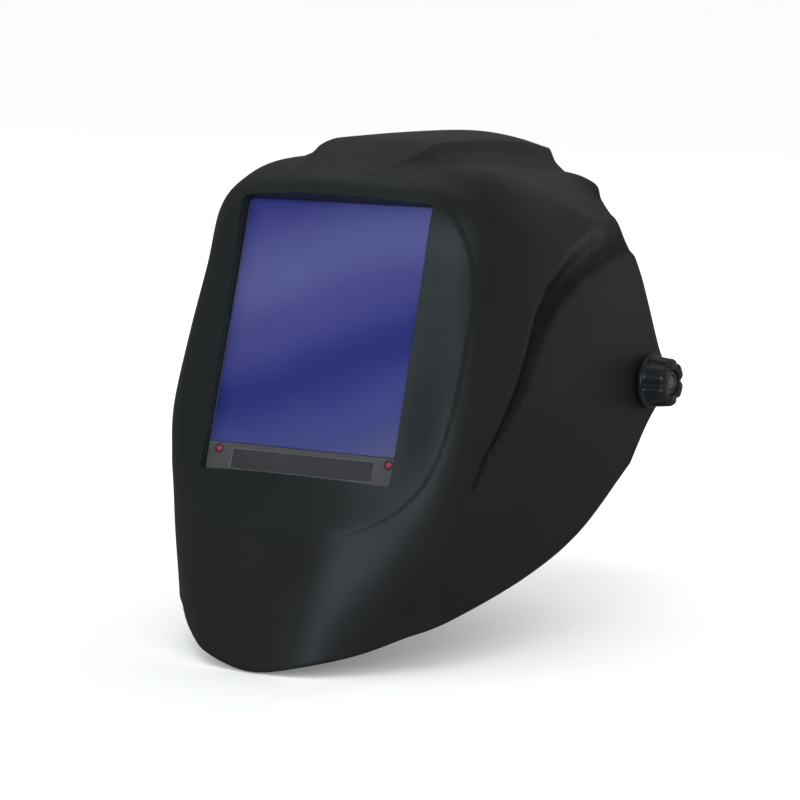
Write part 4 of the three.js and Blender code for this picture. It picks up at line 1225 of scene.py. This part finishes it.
# Finish and edge rounding in mm; a name that ends in _ stands for a left and a right one.
keptNodes = {
    "cover_lens": ("clearPane", 0.2), "inner_lens": ("clearPane", 0.2), "lens_gasket": ("rubberBlack", 0.2),
    "filter_case": ("caseGrey", 0.35), "filter_back": ("caseBlack", 0.5), "holder_frame": ("caseBlack", 0.5),
    "circuit_board": ("boardGreen", 0.2), "battery_": ("batterySteel", 0.4),
    "battery_cap_": ("dialGrey", 0.3), "shade_knob": ("dialGrey", 0.45),
    "sensitivity_knob": ("dialGrey", 0.35), "delay_knob": ("dialGrey", 0.35),
    "grind_switch": ("switchRed", 0.3), "test_button": ("latchGrey", 0.4),
    "retainer_latch_": ("latchGrey", 0.4), "knob_insert_": ("insertBrass", 0.4),
    "pivot_bolt_": ("boltSteel", 0.5), "friction_washer_": ("rubberBlack", 0.3),
    "slider_plate_": ("headgearBlack", 0.4), "stop_peg_": ("shellBlack", 0.3),
    "side_arm_": ("headgearBlack", 0.5), "arm_rivet_": ("boltSteel", 0.4),
    "crown_bridge": ("headgearBlack", 0.4), "rack_upper": ("headgearBlack", 0.25),
    "rack_lower": ("headgearBlack", 0.25), "ratchet_pinion": ("latchGrey", 0.2),
    "ratchet_knob": ("knobBlack", 0.6), "housing_base": ("headgearBlack", 0.4),
    "housing_cover": ("headgearBlack", 0.8),
}


# Drops a node's hard shading inside a modifier, so that its own mesh is left as it came.
def makeEvenShading():
    group = bpy.data.node_groups.new("evenShading", "GeometryNodeTree")
    group.interface.new_socket(name="Geometry", in_out="INPUT", socket_type="NodeSocketGeometry")
    group.interface.new_socket(name="Geometry", in_out="OUTPUT", socket_type="NodeSocketGeometry")
    shaded = group.nodes.new("NodeGroupInput").outputs[0]
    for label in ("custom_normal", "sharp_face", "sharp_edge"):
        drop = group.nodes.new("GeometryNodeRemoveAttribute")
        drop.inputs["Name"].default_value = label
        group.links.new(shaded, drop.inputs["Geometry"])
        shaded = drop.outputs["Geometry"]
    group.links.new(shaded, group.nodes.new("NodeGroupOutput").inputs[0])
    return group


evenShading = makeEvenShading()
flatWithin = math.radians(1.5)
hardEdgeFrom = 32


def dressNode(name, finish, width):
    ob = cadNodes[name]
    ob.material_slots[0].material = finishes[finish]
    even = ob.modifiers.new("evenShading", "NODES")
    even.node_group = evenShading
    weld = ob.modifiers.new("weld", "WELD")
    weld.merge_threshold = weldReach
    flat = ob.modifiers.new("wholeFaces", "DECIMATE")
    flat.decimate_type = "DISSOLVE"
    flat.angle_limit = flatWithin
    bevel(ob, width, 2, hardEdgeFrom)


makeWindow()
makeTicks("shadeTicks", 0, controlRow, 11.4, 9, 225, -270, 1.2)
makeTicks("sensitivityTicks", -21.5, -62, 7.2, 5, 225, -270, 0.9)
makeTicks("delayTicks", 21.5, -62, 7.2, 5, 225, -270, 0.9)
makeKnob("Left", -1)
makeKnob("Right", 1)
print("window and knobs made")
makeHeadband()
makeSideBand("Left", -1)
makeSideBand("Right", 1)
makeCrownStrap("crownStrapFront", "crown_strap_front", 72, 31, 46, 116, -15, 14)
makeCrownStrap("crownStrapRear", "crown_strap_rear", 71.9, 12, 40, 116, 27, 14)
print("headgear straps made")
makePads()
for nodeName, (finish, width) in keptNodes.items():
    for end in ("l", "r") if nodeName.endswith("_") else ("",):
        dressNode(nodeName + end, finish, width)
print("kept nodes finished")
